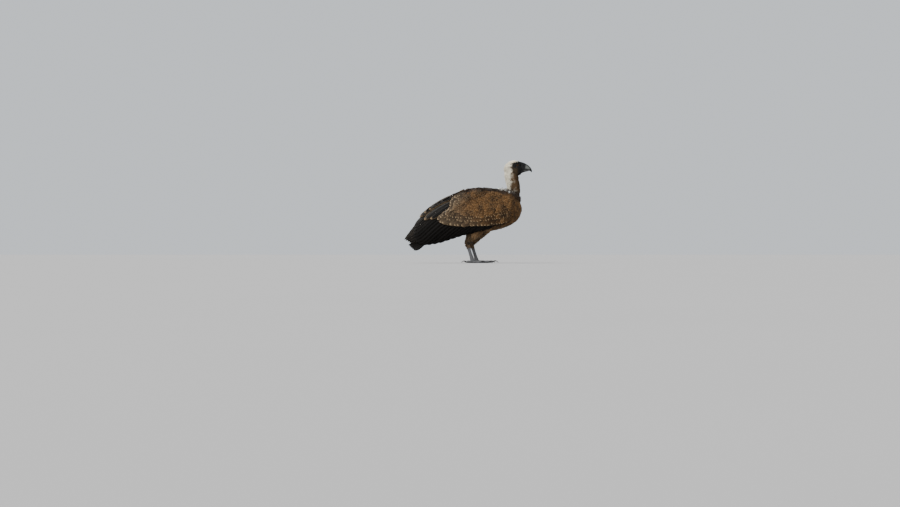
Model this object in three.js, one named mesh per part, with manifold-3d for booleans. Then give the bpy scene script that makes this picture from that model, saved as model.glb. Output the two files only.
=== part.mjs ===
// Griffon vulture, life size, standing still on both feet with its wings folded and its head raised.
// Millimetres. +X is the way the bird faces, +Y its left side, +Z up. The soles stand on z = 0 and the
// origin is under the middle of the whole bird. Every node is one closed solid.

import * as THREE from "three";
import { mergeVertices } from "three/addons/utils/BufferGeometryUtils.js";
import Module from "manifold-3d";

const wasm = await Module();
wasm.setup();

// ---- Driving dimensions ------------------------------------------------------------------------

const GAP = 0.3; // clearance between pieces that meet
const WORLD = 1000; // half the side of a cutting box that holds the whole bird
const PLUMAGE_REACH = 200; // how far the prisms that cut the wings reach sideways
const SIDES = [1, -1]; // left, right

// Body sections in planes across X: [x, top, bottom, height of the widest place, half width]
const TRUNK = [
  [316, 322, 304, 313, 9],
  [303, 356, 266, 312, 58],
  [270, 396, 230, 311, 93],
  [205, 424, 200, 308, 111],
  [115, 438, 181, 303, 117],
  [15, 434, 174, 296, 117],
  [-85, 386, 175, 276, 99],
  [-160, 312, 162, 238, 75],
  [-215, 240, 148, 194, 50],
  [-255, 186, 136, 160, 28],
  [-272, 162, 134, 148, 8],
];
const TRUNK_ROUNDNESS = 2.15; // 2 is an ellipse, more is boxier
const TRUNK_SIDES = 16;

// Neck sections square to its path: [x, z, half length fore and aft, half width]
const NECK = [
  [236, 352, 50, 46],
  [262, 386, 45, 43],
  [269, 420, 41.5, 40],
  [266, 452, 42, 38],
  [258, 484, 43, 36.5],
  [250, 516, 42, 35],
  [246, 540, 34, 31],
];
const NECK_SIDES = 16;

// The ruff is a collar round the root of the neck, lower in front than behind
const RUFF_MIDDLE = [246, 0, 402];
const RUFF_HALF = [68, 68, 26];
const RUFF_LEAN_DEG = 24;
const RUFF_SIDES = 14;

// Head sections in planes across X, as the body's
const HEAD = [
  [211, 546, 526, 538, 9],
  [220, 568, 512, 541, 24],
  [238, 585, 503, 543, 33],
  [262, 595, 497, 545, 37],
  [286, 594, 500, 547, 34.5],
  [304, 588, 510, 549, 28],
  [318, 581, 520, 550, 22],
  [330, 576, 526, 550, 18],
];
const HEAD_SIDES = 16;
const CERE_START = 311; // where skin gives way to the soft base of the bill
const HORN_START = 331; // where the cere gives way to horn

// A ridge over each eye and the shallow socket that the eye looks out of
const BROW = { middle: [291, 22, 579.5], half: [19, 7, 4.5], leanDeg: 9 };
const SOCKET = { middle: [289, 32.5, 567], half: [12.5, 5.5, 9.5] };

// Upper bill sections: [x, top, bottom, height of the widest place, half width]
const UPPER_BILL = [
  [302, 589, 540.5, 548, 22],
  [318, 583, 540.5, 547, 20],
  [332, 577.5, 540.5, 546, 17.5],
  [346, 571, 540, 545, 15],
  [357, 564, 537, 543, 12],
  [366, 555, 530, 539, 8.5],
  [372, 545, 525.5, 533, 5],
  [375, 536, 527, 531, 1.8],
];
const LOWER_BILL = [
  [302, 540.3, 512, 536, 19],
  [318, 540.2, 522, 537, 17.4],
  [334, 540.2, 528.5, 537.5, 15],
  [347, 539.8, 530.5, 537.5, 11.5],
  [357, 538, 533.5, 536.5, 5.5],
];
const BILL_SIDES = 12;

const EYE = { x: 289, z: 567, y: 20.5, radius: 9.5 };
const EYE_SIDES = 10;

// Folded wing sections: [x, [y, z] of the upper edge, of the fullest place and of the lower edge]
const WING = [
  [270, [72, 384], [100, 318], [98, 252]],
  [215, [74, 414], [123, 316], [116, 228]],
  [115, [70, 434], [138, 312], [126, 196]],
  [15, [60, 436], [139, 300], [126, 176]],
  [-85, [44, 402], [127, 276], [118, 150]],
  [-170, [26, 352], [108, 248], [104, 124]],
  [-235, [14, 312], [88, 216], [90, 108]],
  [-300, [12, 246], [60, 180], [68, 106]],
  [-380, [12, 146], [24, 136], [28, 124]],
];
const WING_SIDE_STEPS = 5;
const WING_THICKNESS = 17; // at the wrist and the coverts
const WING_END_THICKNESS = 5; // of the stacked feathers at the wing's point
const SECONDARY_INSET = 4; // the long feathers lie this far under the coverts
const PRIMARY_INSET = 8;

// Side outlines of the wing's three zones, as [x, z]. An edge is a row of feather tips, run from the
// wing's upper edge round to its lower one, and the front closes the outline.
const ABOVE = 520; // clear of the wing's upper edge
const COVERT_EDGE = [
  [-62, 470],
  [-92, 368],
  [-112, 318],
  [-128, 276],
  [-172, 244],
  [-120, 224],
  [-20, 213],
  [90, 216],
  [190, 224],
  [226, 222],
];
const COVERT_FRONT = [
  [234, 278],
  [252, 322],
  [268, 360],
  [276, 400],
  [282, ABOVE],
  [-62, ABOVE],
];
const COVERT_LOBES = 11;
const COVERT_LOBE_DEPTH = 8;
const SECONDARY_EDGE = [
  [-190, 380],
  [-238, 318],
  [-276, 266],
  [-300, 214],
  [-262, 128],
  [-196, 124],
  [-100, 150],
  [0, 178],
  [100, 196],
  [190, 206],
];
const SECONDARY_FRONT = [
  [190, 300],
  [0, ABOVE],
  [-190, ABOVE],
];
const SECONDARY_LOBES = 9;
const SECONDARY_LOBE_DEPTH = 9;
const PRIMARY_EDGE = [
  [-290, 268],
  [-330, 216],
  [-378, 146],
  [-362, 128],
  [-326, 122],
  [-290, 112],
  [-240, 118],
];
const PRIMARY_FRONT = [
  [-150, 200],
  [-150, ABOVE],
  [-290, ABOVE],
];
const PRIMARY_LOBES = 5;
const PRIMARY_LOBE_DEPTH = 9;
const LOBE_STEPS = 3; // along each feather's tip

// Tail: a fan of stiff feathers, arched like a low roof
const TAIL = {
  root: [-138, 250],
  slopeDeg: 38,
  length: 262,
  shorterAtSides: 72,
  rootHalfWidth: 40,
  endHalfWidth: 78,
  rootDroop: 12,
  endDroop: 58,
  rootThickness: 16,
  endThickness: 4,
  feathers: 14,
  tipRounding: 9,
};
const TAIL_COLUMNS = 2; // to each feather

// Legs. The left foot stands a little ahead of the right.
const FOOT_SPREAD = 68; // half the distance between the feet
const STRIDE = 13; // each foot's share of the distance between them fore and aft
const FOOT_X = 42; // where the toes join, with both feet level
const FOOT_HEIGHT = 15;
const ANKLE = { back: 30, height: 112 };
const THIGH = [
  // [forward of the ankle, height, half length, half width]
  [86, 262, 66, 42],
  [66, 218, 60, 42],
  [40, 176, 44, 35],
  [15, 142, 29, 25],
  [2, 118, 18, 17],
  [-1, 110, 10, 10],
];
const TARSUS_RADII = [13.5, 10.5, 9.8, 10.5, 13];
const FOOT_PAD_RADIUS = 14.5;
// A heading is measured from straight ahead, outwards being positive.
const TOES = [
  { name: "inner", headingDeg: -34, length: 62, radius: 8.4, knuckles: 2, claw: 30 },
  { name: "middle", headingDeg: 2, length: 97, radius: 9, knuckles: 3, claw: 31 },
  { name: "outer", headingDeg: 37, length: 68, radius: 8.1, knuckles: 3, claw: 25 },
  { name: "hind", headingDeg: 188, length: 38, radius: 8, knuckles: 1, claw: 29 },
];
const TOE_TAPER = 0.74;
const TOE_KNUCKLE = 0.07;
const TOE_SOLE_CUT = 1.6; // how much of each round toe its flat sole takes off
const TOE_SIDES = 8;
const CLAW_RADIUS = 5.4;
const CLAW_TIP_RADIUS = 0.7;
const CLAW_TIP_HEIGHT = 1.2;
const CLAW_RISE = 7;
const CLAW_STEPS = 4;
const CLAW_SIDES = 6;
const THIGH_SIDES = 12;
const TARSUS_SIDES = 8;
const FOOT_PAD_SIDES = 10;

// ---- Materials ---------------------------------------------------------------------------------

const surface = (color, roughness) => new THREE.MeshStandardMaterial({ color, roughness, metalness: 0 });
const material = {
  plumage: surface(0x8a6238, 0.85),
  coverts: surface(0x93693c, 0.85),
  flight: surface(0x17130f, 0.6),
  down: surface(0xe9e2cf, 0.95),
  ruff: surface(0xece4d2, 0.95),
  horn: surface(0x8f8b7c, 0.4),
  cere: surface(0x2c2c2e, 0.5),
  eye: surface(0x6b4a1d, 0.1),
  scales: surface(0x6f6f70, 0.6),
  claw: surface(0x1f1c1a, 0.4),
};

// ---- Geometry helpers --------------------------------------------------------------------------

const TAU = 2 * Math.PI;
const radians = THREE.MathUtils.degToRad;
const lerp = THREE.MathUtils.lerp;

// The rows of a table of sections, flattened, with `between` more rows put in on smooth curves.
function smoothRows(table, between) {
  const rows = table.map((row) => row.flat());
  const at = (i) => rows[THREE.MathUtils.clamp(i, 0, rows.length - 1)];
  const made = [];
  for (let i = 0; i < rows.length - 1; i++) {
    for (let k = 0; k < between + 1; k++) {
      const t = k / (between + 1);
      made.push(at(i).map((_, c) => catmullRom(t, at(i - 1)[c], at(i)[c], at(i + 1)[c], at(i + 2)[c])));
    }
  }
  made.push(rows.at(-1));
  return made;
}

function catmullRom(t, p0, p1, p2, p3) {
  const v0 = (p2 - p0) / 2;
  const v1 = (p3 - p1) / 2;
  return (2 * (p1 - p2) + v0 + v1) * t ** 3 + (3 * (p2 - p1) - 2 * v0 - v1) * t ** 2 + v0 * t + p1;
}

// A closed solid through rings of points that all run the same way round, closed at both ends.
function loft(rings) {
  const sides = rings[0].length;
  const points = rings.flat();
  const middles = [rings[0], rings.at(-1)].map((ring) =>
    ring.reduce((sum, p) => sum.add(p), new THREE.Vector3()).divideScalar(sides),
  );
  points.push(...middles);
  const faces = [];
  for (let r = 0; r < rings.length - 1; r++) {
    for (let s = 0; s < sides; s++) {
      const a = r * sides + s;
      const b = r * sides + ((s + 1) % sides);
      faces.push(a, b, a + sides, b, b + sides, a + sides);
    }
  }
  const last = (rings.length - 1) * sides;
  for (let s = 0; s < sides; s++) {
    const next = (s + 1) % sides;
    faces.push(points.length - 2, next, s);
    faces.push(points.length - 1, last + s, last + next);
  }
  const geometry = new THREE.BufferGeometry().setFromPoints(points);
  geometry.setIndex(faces);
  return solid(geometry);
}

// A three.js geometry as a Manifold, turned the right way out.
function solid(geometry) {
  const bare = new THREE.BufferGeometry();
  bare.setAttribute("position", geometry.getAttribute("position"));
  bare.setIndex(geometry.index);
  const merged = mergeVertices(bare, 1e-3);
  const triVerts = new Uint32Array(merged.index.array);
  const vertProperties = merged.attributes.position.array;
  const build = () => new wasm.Manifold(new wasm.Mesh({ numProp: 3, vertProperties, triVerts }));
  const made = build();
  if (made.volume() >= 0) return made;
  for (let i = 0; i < triVerts.length; i += 3) {
    [triVerts[i + 1], triVerts[i + 2]] = [triVerts[i + 2], triVerts[i + 1]];
  }
  return build();
}

// The largest body of a solid: a cut can leave crumbs beside the piece that is wanted.
const main = (whole) => whole.decompose().sort((a, b) => b.volume() - a.volume())[0];

function toGeometry(made) {
  const mesh = made.getMesh();
  const geometry = new THREE.BufferGeometry();
  geometry.setAttribute("position", new THREE.BufferAttribute(new Float32Array(mesh.vertProperties), 3));
  geometry.setIndex(new THREE.BufferAttribute(new Uint32Array(mesh.triVerts), 1));
  geometry.computeVertexNormals();
  return geometry;
}

// A section across X whose upper and lower halves are superellipses, grown on every side by `grow`.
function bodyRing([x, top, bottom, widest, halfWidth], sides, grow, roundness = 2) {
  const ring = [];
  for (let s = 0; s < sides; s++) {
    const angle = (TAU * s) / sides;
    const across = Math.cos(angle);
    const up = Math.sin(angle);
    const y = (halfWidth + grow) * Math.sign(across) * Math.abs(across) ** (2 / roundness);
    const reach = up > 0 ? top + grow - widest : widest - bottom + grow;
    ring.push(new THREE.Vector3(x, y, widest + reach * Math.sign(up) * Math.abs(up) ** (2 / roundness)));
  }
  return ring;
}

function bodyLoft(table, { between = 1, sides, grow = 0, roundness }) {
  const rows = smoothRows(table, between);
  const rings = rows.map((row) => bodyRing(row, sides, grow, roundness));
  const ahead = Math.sign(rows[0][0] - rows.at(-1)[0]) * grow;
  rings[0].forEach((p) => (p.x += ahead));
  rings.at(-1).forEach((p) => (p.x -= ahead));
  return loft(rings);
}

// Ellipses square to a path in a plane y = side: rows are [x, z, half length, half width].
function limbLoft(rows, y, sides, grow = 0) {
  const rings = rows.map(([x, z, halfLength, halfWidth], i) => {
    const before = rows[Math.max(i - 1, 0)];
    const after = rows[Math.min(i + 1, rows.length - 1)];
    const along = new THREE.Vector3(after[0] - before[0], 0, after[1] - before[1]).normalize();
    const fore = new THREE.Vector3(along.z, 0, -along.x);
    return Array.from({ length: sides }, (_, s) => {
      const angle = (TAU * s) / sides;
      return new THREE.Vector3(x, y, z)
        .addScaledVector(fore, (halfLength + grow) * Math.cos(angle))
        .add(new THREE.Vector3(0, (halfWidth + grow) * Math.sin(angle), 0));
    });
  });
  return loft(rings);
}

// A round tube through points, with a radius at each.
function taperedTube(points, radii, sides) {
  const rings = points.map((p, i) => {
    const before = points[Math.max(i - 1, 0)];
    const after = points[Math.min(i + 1, points.length - 1)];
    const along = after.clone().sub(before).normalize();
    const side = new THREE.Vector3(0, 0, 1).cross(along).normalize();
    const up = along.clone().cross(side);
    return Array.from({ length: sides }, (_, s) => {
      const angle = (TAU * s) / sides;
      return p
        .clone()
        .addScaledVector(side, radii[i] * Math.cos(angle))
        .addScaledVector(up, radii[i] * Math.sin(angle));
    });
  });
  return loft(rings);
}

// An ellipsoid that leans forward about Y by `leanDeg`.
function ellipsoid(middle, half, sides, leanDeg = 0) {
  const geometry = new THREE.SphereGeometry(1, sides, sides / 2);
  geometry.rotateX(Math.PI / 2);
  geometry.scale(...half);
  geometry.rotateY(radians(leanDeg));
  geometry.translate(...middle);
  return solid(geometry);
}

// A prism along Y over a polygon given as [x, z] points.
function sidePrism(outline, from, to) {
  const shape = new THREE.Shape(outline.map(([x, z]) => new THREE.Vector2(x, z)));
  const geometry = new THREE.ExtrudeGeometry(shape, { depth: to - from, bevelEnabled: false });
  geometry.rotateX(Math.PI / 2);
  geometry.translate(0, to, 0);
  return solid(geometry);
}

// A smooth open line with rounded feather tips standing out to the right of its run.
function lobedEdge(edge, lobes, depth, grow) {
  const curve = new THREE.CatmullRomCurve3(edge.map(([x, z]) => new THREE.Vector3(x, z, 0)));
  const count = lobes * LOBE_STEPS;
  return Array.from({ length: count + 1 }, (_, i) => {
    const share = i / count;
    const p = curve.getPointAt(share);
    const t = curve.getTangentAt(share);
    const out = depth * Math.abs(Math.sin((Math.PI * i) / LOBE_STEPS)) + grow;
    return [p.x + t.y * out, p.y - t.x * out];
  });
}

function box(low, high) {
  const geometry = new THREE.BoxGeometry(high[0] - low[0], high[1] - low[1], high[2] - low[2]);
  geometry.translate((low[0] + high[0]) / 2, (low[1] + high[1]) / 2, (low[2] + high[2]) / 2);
  return solid(geometry);
}

// ---- Wings -------------------------------------------------------------------------------------

// The shell of one folded wing, its outer face `inset` inside the true outside.
function wingShell(side, inset) {
  const rows = smoothRows(WING, 1);
  const front = WING[0][0];
  const back = WING.at(-1)[0];
  const rings = rows.map(([x, yTop, zTop, yMid, zMid, yLow, zLow]) => {
    const share = (x - back) / (front - back);
    const thickness = lerp(WING_END_THICKNESS, WING_THICKNESS, share) + PRIMARY_INSET - inset;
    const outer = [];
    const inner = [];
    for (let i = 0; i <= WING_SIDE_STEPS; i++) {
      // A parabola through the three points of the row, and its slope.
      const b = i / WING_SIDE_STEPS;
      const through = [(1 - b) * (1 - 2 * b), 4 * b * (1 - b), b * (2 * b - 1)];
      const slope = [4 * b - 3, 4 - 8 * b, 4 * b - 1];
      const mix = (w, p, q, r) => w[0] * p + w[1] * q + w[2] * r;
      const y = mix(through, yTop, yMid, yLow);
      const z = mix(through, zTop, zMid, zLow);
      const run = new THREE.Vector2(mix(slope, yTop, yMid, yLow), mix(slope, zTop, zMid, zLow)).normalize();
      const out = new THREE.Vector2(-run.y, run.x);
      const point = (depth) => new THREE.Vector3(x, side * (y - out.x * depth), z - out.y * depth);
      outer.push(point(inset));
      inner.push(point(inset + thickness));
    }
    return [...outer, ...inner.reverse()];
  });
  return loft(rings);
}

// ---- Assembly ----------------------------------------------------------------------------------

const bird = new THREE.Group();
bird.name = "griffon_vulture";

function add(name, made, look) {
  const mesh = new THREE.Mesh(toGeometry(main(made)), look);
  mesh.name = name;
  bird.add(mesh);
}

const subtractAll = (whole, others) => others.reduce((left, other) => left.subtract(other), whole);
const sideName = (side) => (side > 0 ? "left" : "right");

function trunkSolid(grow = 0) {
  return bodyLoft(TRUNK, { sides: TRUNK_SIDES, roundness: TRUNK_ROUNDNESS, grow });
}

const neckSolid = (grow = 0) => limbLoft(NECK, 0, NECK_SIDES, grow);
const headSolid = (grow = 0) => bodyLoft(HEAD, { sides: HEAD_SIDES, grow });
const grown = (half, grow) => half.map((size) => size + grow);

function ruffSolid(grow = 0) {
  return ellipsoid(RUFF_MIDDLE, grown(RUFF_HALF, grow), RUFF_SIDES, RUFF_LEAN_DEG);
}

function eyeSolid(side, grow = 0) {
  return ellipsoid([EYE.x, side * EYE.y, EYE.z], Array(3).fill(EYE.radius + grow), EYE_SIDES);
}

// An ellipsoid given for the left side of the head, on either side.
function onHead({ middle: [x, y, z], half, leanDeg = 0 }, side) {
  return ellipsoid([x, side * y, z], half, EYE_SIDES, leanDeg);
}

// Everything between two planes across X.
function slice(whole, from, to) {
  return whole.intersect(box([from, -WORLD, -WORLD], [to, WORLD, WORLD]));
}

function addHead() {
  const browed = SIDES.reduce((head, side) => head.add(onHead(BROW, side)), headSolid());
  const hollows = SIDES.flatMap((side) => [onHead(SOCKET, side), eyeSolid(side, GAP)]);
  add("head", subtractAll(slice(browed, -WORLD, CERE_START), hollows), material.down);
  for (const side of SIDES) add("eye_" + sideName(side), eyeSolid(side), material.eye);
  const upperBill = (grow) => bodyLoft(UPPER_BILL, { sides: BILL_SIDES, grow });
  const upper = upperBill(0);
  add("cere", slice(upper, CERE_START + GAP, HORN_START), material.cere);
  add("bill_upper", slice(upper, HORN_START + GAP, WORLD), material.horn);
  const lower = bodyLoft(LOWER_BILL, { sides: BILL_SIDES }).subtract(upperBill(GAP));
  add("bill_lower", slice(lower, CERE_START + GAP, WORLD), material.horn);
}

function addNeck() {
  add("neck", subtractAll(neckSolid(), [trunkSolid(GAP), headSolid(GAP)]), material.down);
  add("ruff", subtractAll(ruffSolid(), [trunkSolid(GAP), neckSolid(GAP)]), material.ruff);
}

// The arched fan. `share` runs from the root to the tip and `across` from -1 to 1.
function tailPoint(share, across, below) {
  const length = TAIL.length - TAIL.shorterAtSides * across ** 2;
  const along = share * length;
  const droop = lerp(TAIL.rootDroop, TAIL.endDroop, share) * across ** 2;
  const slope = radians(TAIL.slopeDeg);
  return new THREE.Vector3(
    TAIL.root[0] - along * Math.cos(slope),
    lerp(TAIL.rootHalfWidth, TAIL.endHalfWidth, share) * across,
    TAIL.root[1] - along * Math.sin(slope) - droop - below,
  );
}

function tailSolid(grow = 0) {
  const rings = [];
  const columns = TAIL.feathers * TAIL_COLUMNS;
  for (const share of [0, 0.5, 1]) {
    const thickness = lerp(TAIL.rootThickness, TAIL.endThickness, share);
    const upper = [];
    const lower = [];
    for (let c = 0; c <= columns; c++) {
      const across = ((2 * c) / columns - 1) * (1 + grow / TAIL.rootHalfWidth);
      const notch = 1 - Math.abs(Math.sin((Math.PI * c) / TAIL_COLUMNS));
      const end = share - (share * notch * TAIL.tipRounding) / TAIL.length;
      upper.push(tailPoint(end, across, -grow));
      lower.push(tailPoint(end, across, thickness + grow));
    }
    rings.push([...upper, ...lower.reverse()]);
  }
  return loft(rings);
}

// A wing's zones, cut from its shell by prisms whose rear edges are rows of feather tips.
function wingZones(grow) {
  const zone = (edge, lobes, depth, front) =>
    sidePrism([...lobedEdge(edge, lobes, depth, grow), ...front], -PLUMAGE_REACH, PLUMAGE_REACH);
  return {
    coverts: zone(COVERT_EDGE, COVERT_LOBES, COVERT_LOBE_DEPTH, COVERT_FRONT),
    secondaries: zone(SECONDARY_EDGE, SECONDARY_LOBES, SECONDARY_LOBE_DEPTH, SECONDARY_FRONT),
    primaries: zone(PRIMARY_EDGE, PRIMARY_LOBES, PRIMARY_LOBE_DEPTH, PRIMARY_FRONT),
  };
}

function addWings() {
  const zones = wingZones(0);
  const zonesGrown = wingZones(GAP);
  const clear = [trunkSolid(GAP), ruffSolid(GAP), neckSolid(GAP), tailSolid(GAP)];
  for (const side of SIDES) {
    const half = box([-WORLD, side > 0 ? GAP : -WORLD, -WORLD], [WORLD, side > 0 ? WORLD : -GAP, WORLD]);
    const clearHere = [...clear, thighSolid(side, GAP)];
    const shell = (inset) => subtractAll(wingShell(side, inset).intersect(half), clearHere);
    add("wing_coverts_" + sideName(side), shell(0).intersect(zones.coverts), material.coverts);
    add(
      "wing_secondaries_" + sideName(side),
      shell(SECONDARY_INSET).intersect(zones.secondaries).subtract(zonesGrown.coverts),
      material.flight,
    );
    const primaries = shell(PRIMARY_INSET).intersect(zones.primaries);
    add(
      "wing_primaries_" + sideName(side),
      subtractAll(primaries, [zonesGrown.coverts, zonesGrown.secondaries]),
      material.flight,
    );
  }
}

const footPlace = (side) => FOOT_X + side * STRIDE;

function thighSolid(side, grow = 0) {
  const ankleX = footPlace(side) - ANKLE.back;
  const rows = THIGH.map(([forward, ...rest]) => [ankleX + forward, ...rest]);
  return limbLoft(smoothRows(rows, 1), side * FOOT_SPREAD, THIGH_SIDES, grow);
}

function toeTube(joint, side, toe, grow = 0) {
  const heading = radians(toe.headingDeg);
  const along = new THREE.Vector3(Math.cos(heading), side * Math.sin(heading), 0);
  const points = [];
  const radii = [];
  const steps = 2 * toe.knuckles;
  for (let i = 0; i <= steps; i++) {
    const share = i / steps;
    const swell = 1 + TOE_KNUCKLE * Math.cos(TAU * toe.knuckles * share);
    points.push(joint.clone().addScaledVector(along, share * toe.length).setZ(toe.radius - TOE_SOLE_CUT));
    radii.push(toe.radius * lerp(1, TOE_TAPER, share) * swell + grow);
  }
  return taperedTube(points, radii, TOE_SIDES);
}

// A claw leaves the toe's end along it, then curves down until its point is just off the ground.
function clawTube(joint, side, toe) {
  const heading = radians(toe.headingDeg);
  const along = new THREE.Vector3(Math.cos(heading), side * Math.sin(heading), 0);
  const base = joint.clone().addScaledVector(along, toe.length + GAP).setZ(toe.radius - TOE_SOLE_CUT);
  const points = [];
  const radii = [];
  for (let i = 0; i <= CLAW_STEPS; i++) {
    const share = i / CLAW_STEPS;
    const rise = CLAW_RISE * Math.sin(Math.PI * share);
    const drop = (base.z - CLAW_TIP_HEIGHT) * share ** 2;
    points.push(base.clone().addScaledVector(along, toe.claw * share).setZ(base.z + rise - drop));
    radii.push(lerp(CLAW_RADIUS, CLAW_TIP_RADIUS, share));
  }
  return taperedTube(points, radii, CLAW_SIDES);
}

function addLegs() {
  const ground = box([-WORLD, -WORLD, 0], [WORLD, WORLD, WORLD]);
  for (const side of SIDES) {
    const name = sideName(side);
    const footX = footPlace(side);
    const ankleX = footX - ANKLE.back;
    const y = side * FOOT_SPREAD;
    add("thigh_" + name, thighSolid(side).subtract(trunkSolid(GAP)), material.plumage);

    const shank = TARSUS_RADII.map((_, i) => {
      const share = i / (TARSUS_RADII.length - 1);
      return new THREE.Vector3(lerp(ankleX, footX, share), y, lerp(ANKLE.height, FOOT_HEIGHT, share));
    });
    const padMiddle = [footX, y, FOOT_PAD_RADIUS - TOE_SOLE_CUT];
    const pad = (grow) => ellipsoid(padMiddle, Array(3).fill(FOOT_PAD_RADIUS + grow), FOOT_PAD_SIDES);
    const tarsus = (grow) => taperedTube(shank, grown(TARSUS_RADII, grow), TARSUS_SIDES);
    add("tarsus_" + name, subtractAll(tarsus(0), [thighSolid(side, GAP), pad(GAP)]), material.scales);
    add("foot_" + name, pad(0).intersect(ground), material.scales);

    const joint = new THREE.Vector3(footX, y, 0);
    const middle = TOES.find((toe) => toe.name === "middle");
    for (const toe of TOES) {
      const others = [pad(GAP), tarsus(GAP)];
      if (toe !== middle) others.push(toeTube(joint, side, middle, GAP));
      const whole = toeTube(joint, side, toe).intersect(ground);
      add("toe_" + toe.name + "_" + name, subtractAll(whole, others), material.scales);
      const claw = clawTube(joint, side, toe).subtract(toeTube(joint, side, toe, GAP));
      add("claw_" + toe.name + "_" + name, claw, material.claw);
    }
  }
}

add("trunk", trunkSolid(), material.plumage);
addNeck();
addHead();
add("tail", tailSolid().subtract(trunkSolid(GAP)), material.flight);
addWings();
addLegs();

export default bird;
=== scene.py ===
"""Griffon vulture: the skin, plumage, bill, eyes and feet, built round the bird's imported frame.

Metres. +X is the way the bird faces, +Y its left side, +Z up. The soles stand on z = 0.
"""

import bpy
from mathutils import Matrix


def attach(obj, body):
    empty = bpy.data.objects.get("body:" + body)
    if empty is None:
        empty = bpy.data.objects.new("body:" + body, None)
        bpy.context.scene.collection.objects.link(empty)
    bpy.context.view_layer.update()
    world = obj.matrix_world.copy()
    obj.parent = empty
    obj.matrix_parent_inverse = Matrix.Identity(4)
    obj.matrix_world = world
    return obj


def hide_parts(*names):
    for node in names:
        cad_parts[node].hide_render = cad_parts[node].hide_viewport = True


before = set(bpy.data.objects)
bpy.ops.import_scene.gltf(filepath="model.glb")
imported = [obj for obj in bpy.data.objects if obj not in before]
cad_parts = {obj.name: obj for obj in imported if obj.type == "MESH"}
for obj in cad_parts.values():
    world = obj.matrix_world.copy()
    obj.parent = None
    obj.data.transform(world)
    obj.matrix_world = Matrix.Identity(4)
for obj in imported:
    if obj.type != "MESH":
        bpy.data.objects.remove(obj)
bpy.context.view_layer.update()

import math
import zlib

import bpy
import numpy as np
from bpy.props import FloatProperty, FloatVectorProperty, PointerProperty
from mathutils.bvhtree import BVHTree
from mathutils.kdtree import KDTree

bl_info = {
    "name": "Griffon vulture",
    "version": (1, 0, 0),
    "blender": (4, 5, 0),
    "location": "View3D > Sidebar > Vulture",
    "description": "Builds a standing griffon vulture round its frame",
    "category": "Object",
}

BODY = "root"
SIDES = {"left": 1.0, "right": -1.0}
TOES = ("inner", "middle", "outer", "hind")
MM = 0.001


# ---- Numbers -----------------------------------------------------------------------------------


def draws(name):
    """A random generator of a piece's own, the same on each run."""
    return np.random.default_rng(zlib.crc32(name.encode()))


def unit(v):
    """The vectors at length 1."""
    return v / np.maximum(np.linalg.norm(v, axis=-1, keepdims=True), 1e-9)


def smooth(low, high, value):
    """0 below low, 1 above high and an S-curve between; high may lie below low."""
    share = np.clip((value - low) / (high - low), 0, 1)
    return share * share * (3 - 2 * share)


def mixed(a, b, share):
    """a where share is 0, b where it is 1."""
    return a + (b - a) * share


def through(stations, count):
    """The rows of a table with `count` rows in all, on smooth curves through the given ones."""
    rows = np.array(stations, float)
    padded = np.vstack([2 * rows[0] - rows[1], rows, 2 * rows[-1] - rows[-2]])
    place = np.linspace(0, len(rows) - 1, count)
    i = np.minimum(place.astype(int), len(rows) - 2)
    t = (place - i)[:, None]
    a, b, c, d = (padded[i + k] for k in range(4))
    bend, twist = 2 * a - 5 * b + 4 * c - d, 3 * b - a - 3 * c + d
    return 0.5 * (2 * b + (c - a) * t + bend * t**2 + twist * t**3)


def ring_places(rings):
    """Where a vane's rings lie between its root, 0, and its tip, 1: closer together near the tip."""
    step = np.linspace(0, 1, rings)
    return step * (2 - step)


GRAIN_HASH = [127.1, 311.7, 74.7]
GRAIN_SPREAD = 43758.5453
GRAIN_SHIFT = 17.31


def grain(points, size, seed):
    """Smooth noise from 0 to 1 with lumps of about this size."""
    scaled = points / size + seed * GRAIN_SHIFT
    whole = np.floor(scaled)
    part = scaled - whole
    part = part * part * (3 - 2 * part)
    total = np.zeros(len(points))
    for corner in np.ndindex(2, 2, 2):
        drawn = np.sin((whole + corner) @ GRAIN_HASH) * GRAIN_SPREAD
        total += np.where(corner, part, 1 - part).prod(1) * (drawn - np.floor(drawn))
    return total


def swirl(points, size, seed):
    """Smooth wandering vectors, with parts from -0.5 to 0.5."""
    return np.stack([grain(points, size, seed + k) - 0.5 for k in range(3)], 1)


def linear(colour):
    """Linear light from a colour as a screen shows it."""
    c = np.array(colour, float)
    return np.where(c <= 0.04045, c / 12.92, ((c + 0.055) / 1.055) ** 2.4)


# ---- Objects -----------------------------------------------------------------------------------


def only(*objects):
    """Selects these objects and makes the first one active."""
    if bpy.context.object and bpy.context.object.mode != "OBJECT":
        bpy.ops.object.mode_set(mode="OBJECT")
    bpy.ops.object.select_all(action="DESELECT")
    for o in objects:
        o.select_set(True)
    bpy.context.view_layer.objects.active = objects[0]


def edited(obj, operator, **settings):
    """Runs an operator on the whole of an object in edit mode."""
    only(obj)
    bpy.ops.object.mode_set(mode="EDIT")
    bpy.ops.mesh.select_all(action="SELECT")
    operator(**settings)
    bpy.ops.object.mode_set(mode="OBJECT")


def modify(obj, kind, **settings):
    """Adds a modifier with these settings and applies it."""
    only(obj)
    modifier = obj.modifiers.new(kind.title(), kind)
    for key, value in settings.items():
        setattr(modifier, key, value)
    bpy.ops.object.modifier_apply(modifier=modifier.name)


def settle(obj, name, finish, nodes=()):
    """Names a finished piece, gives it its material and ties it to the frame."""
    obj.name = obj.data.name = name
    obj.data.materials.clear()
    obj.data.materials.append(finish)
    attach(obj, BODY)
    if nodes:
        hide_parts(*nodes)
    return obj


def fetched(items, key, width, kind=np.float32):
    """One property of each of these items, a row for each."""
    values = np.empty(len(items) * width, kind)
    items.foreach_get(key, values)
    return values.reshape(-1, width)


def places(mesh):
    """Where the vertices lie."""
    return fetched(mesh.vertices, "co", 3).astype(float)


def normals(mesh):
    """The smooth normal at each vertex."""
    return fetched(mesh.vertex_normals, "vector", 3).astype(float)


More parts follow.
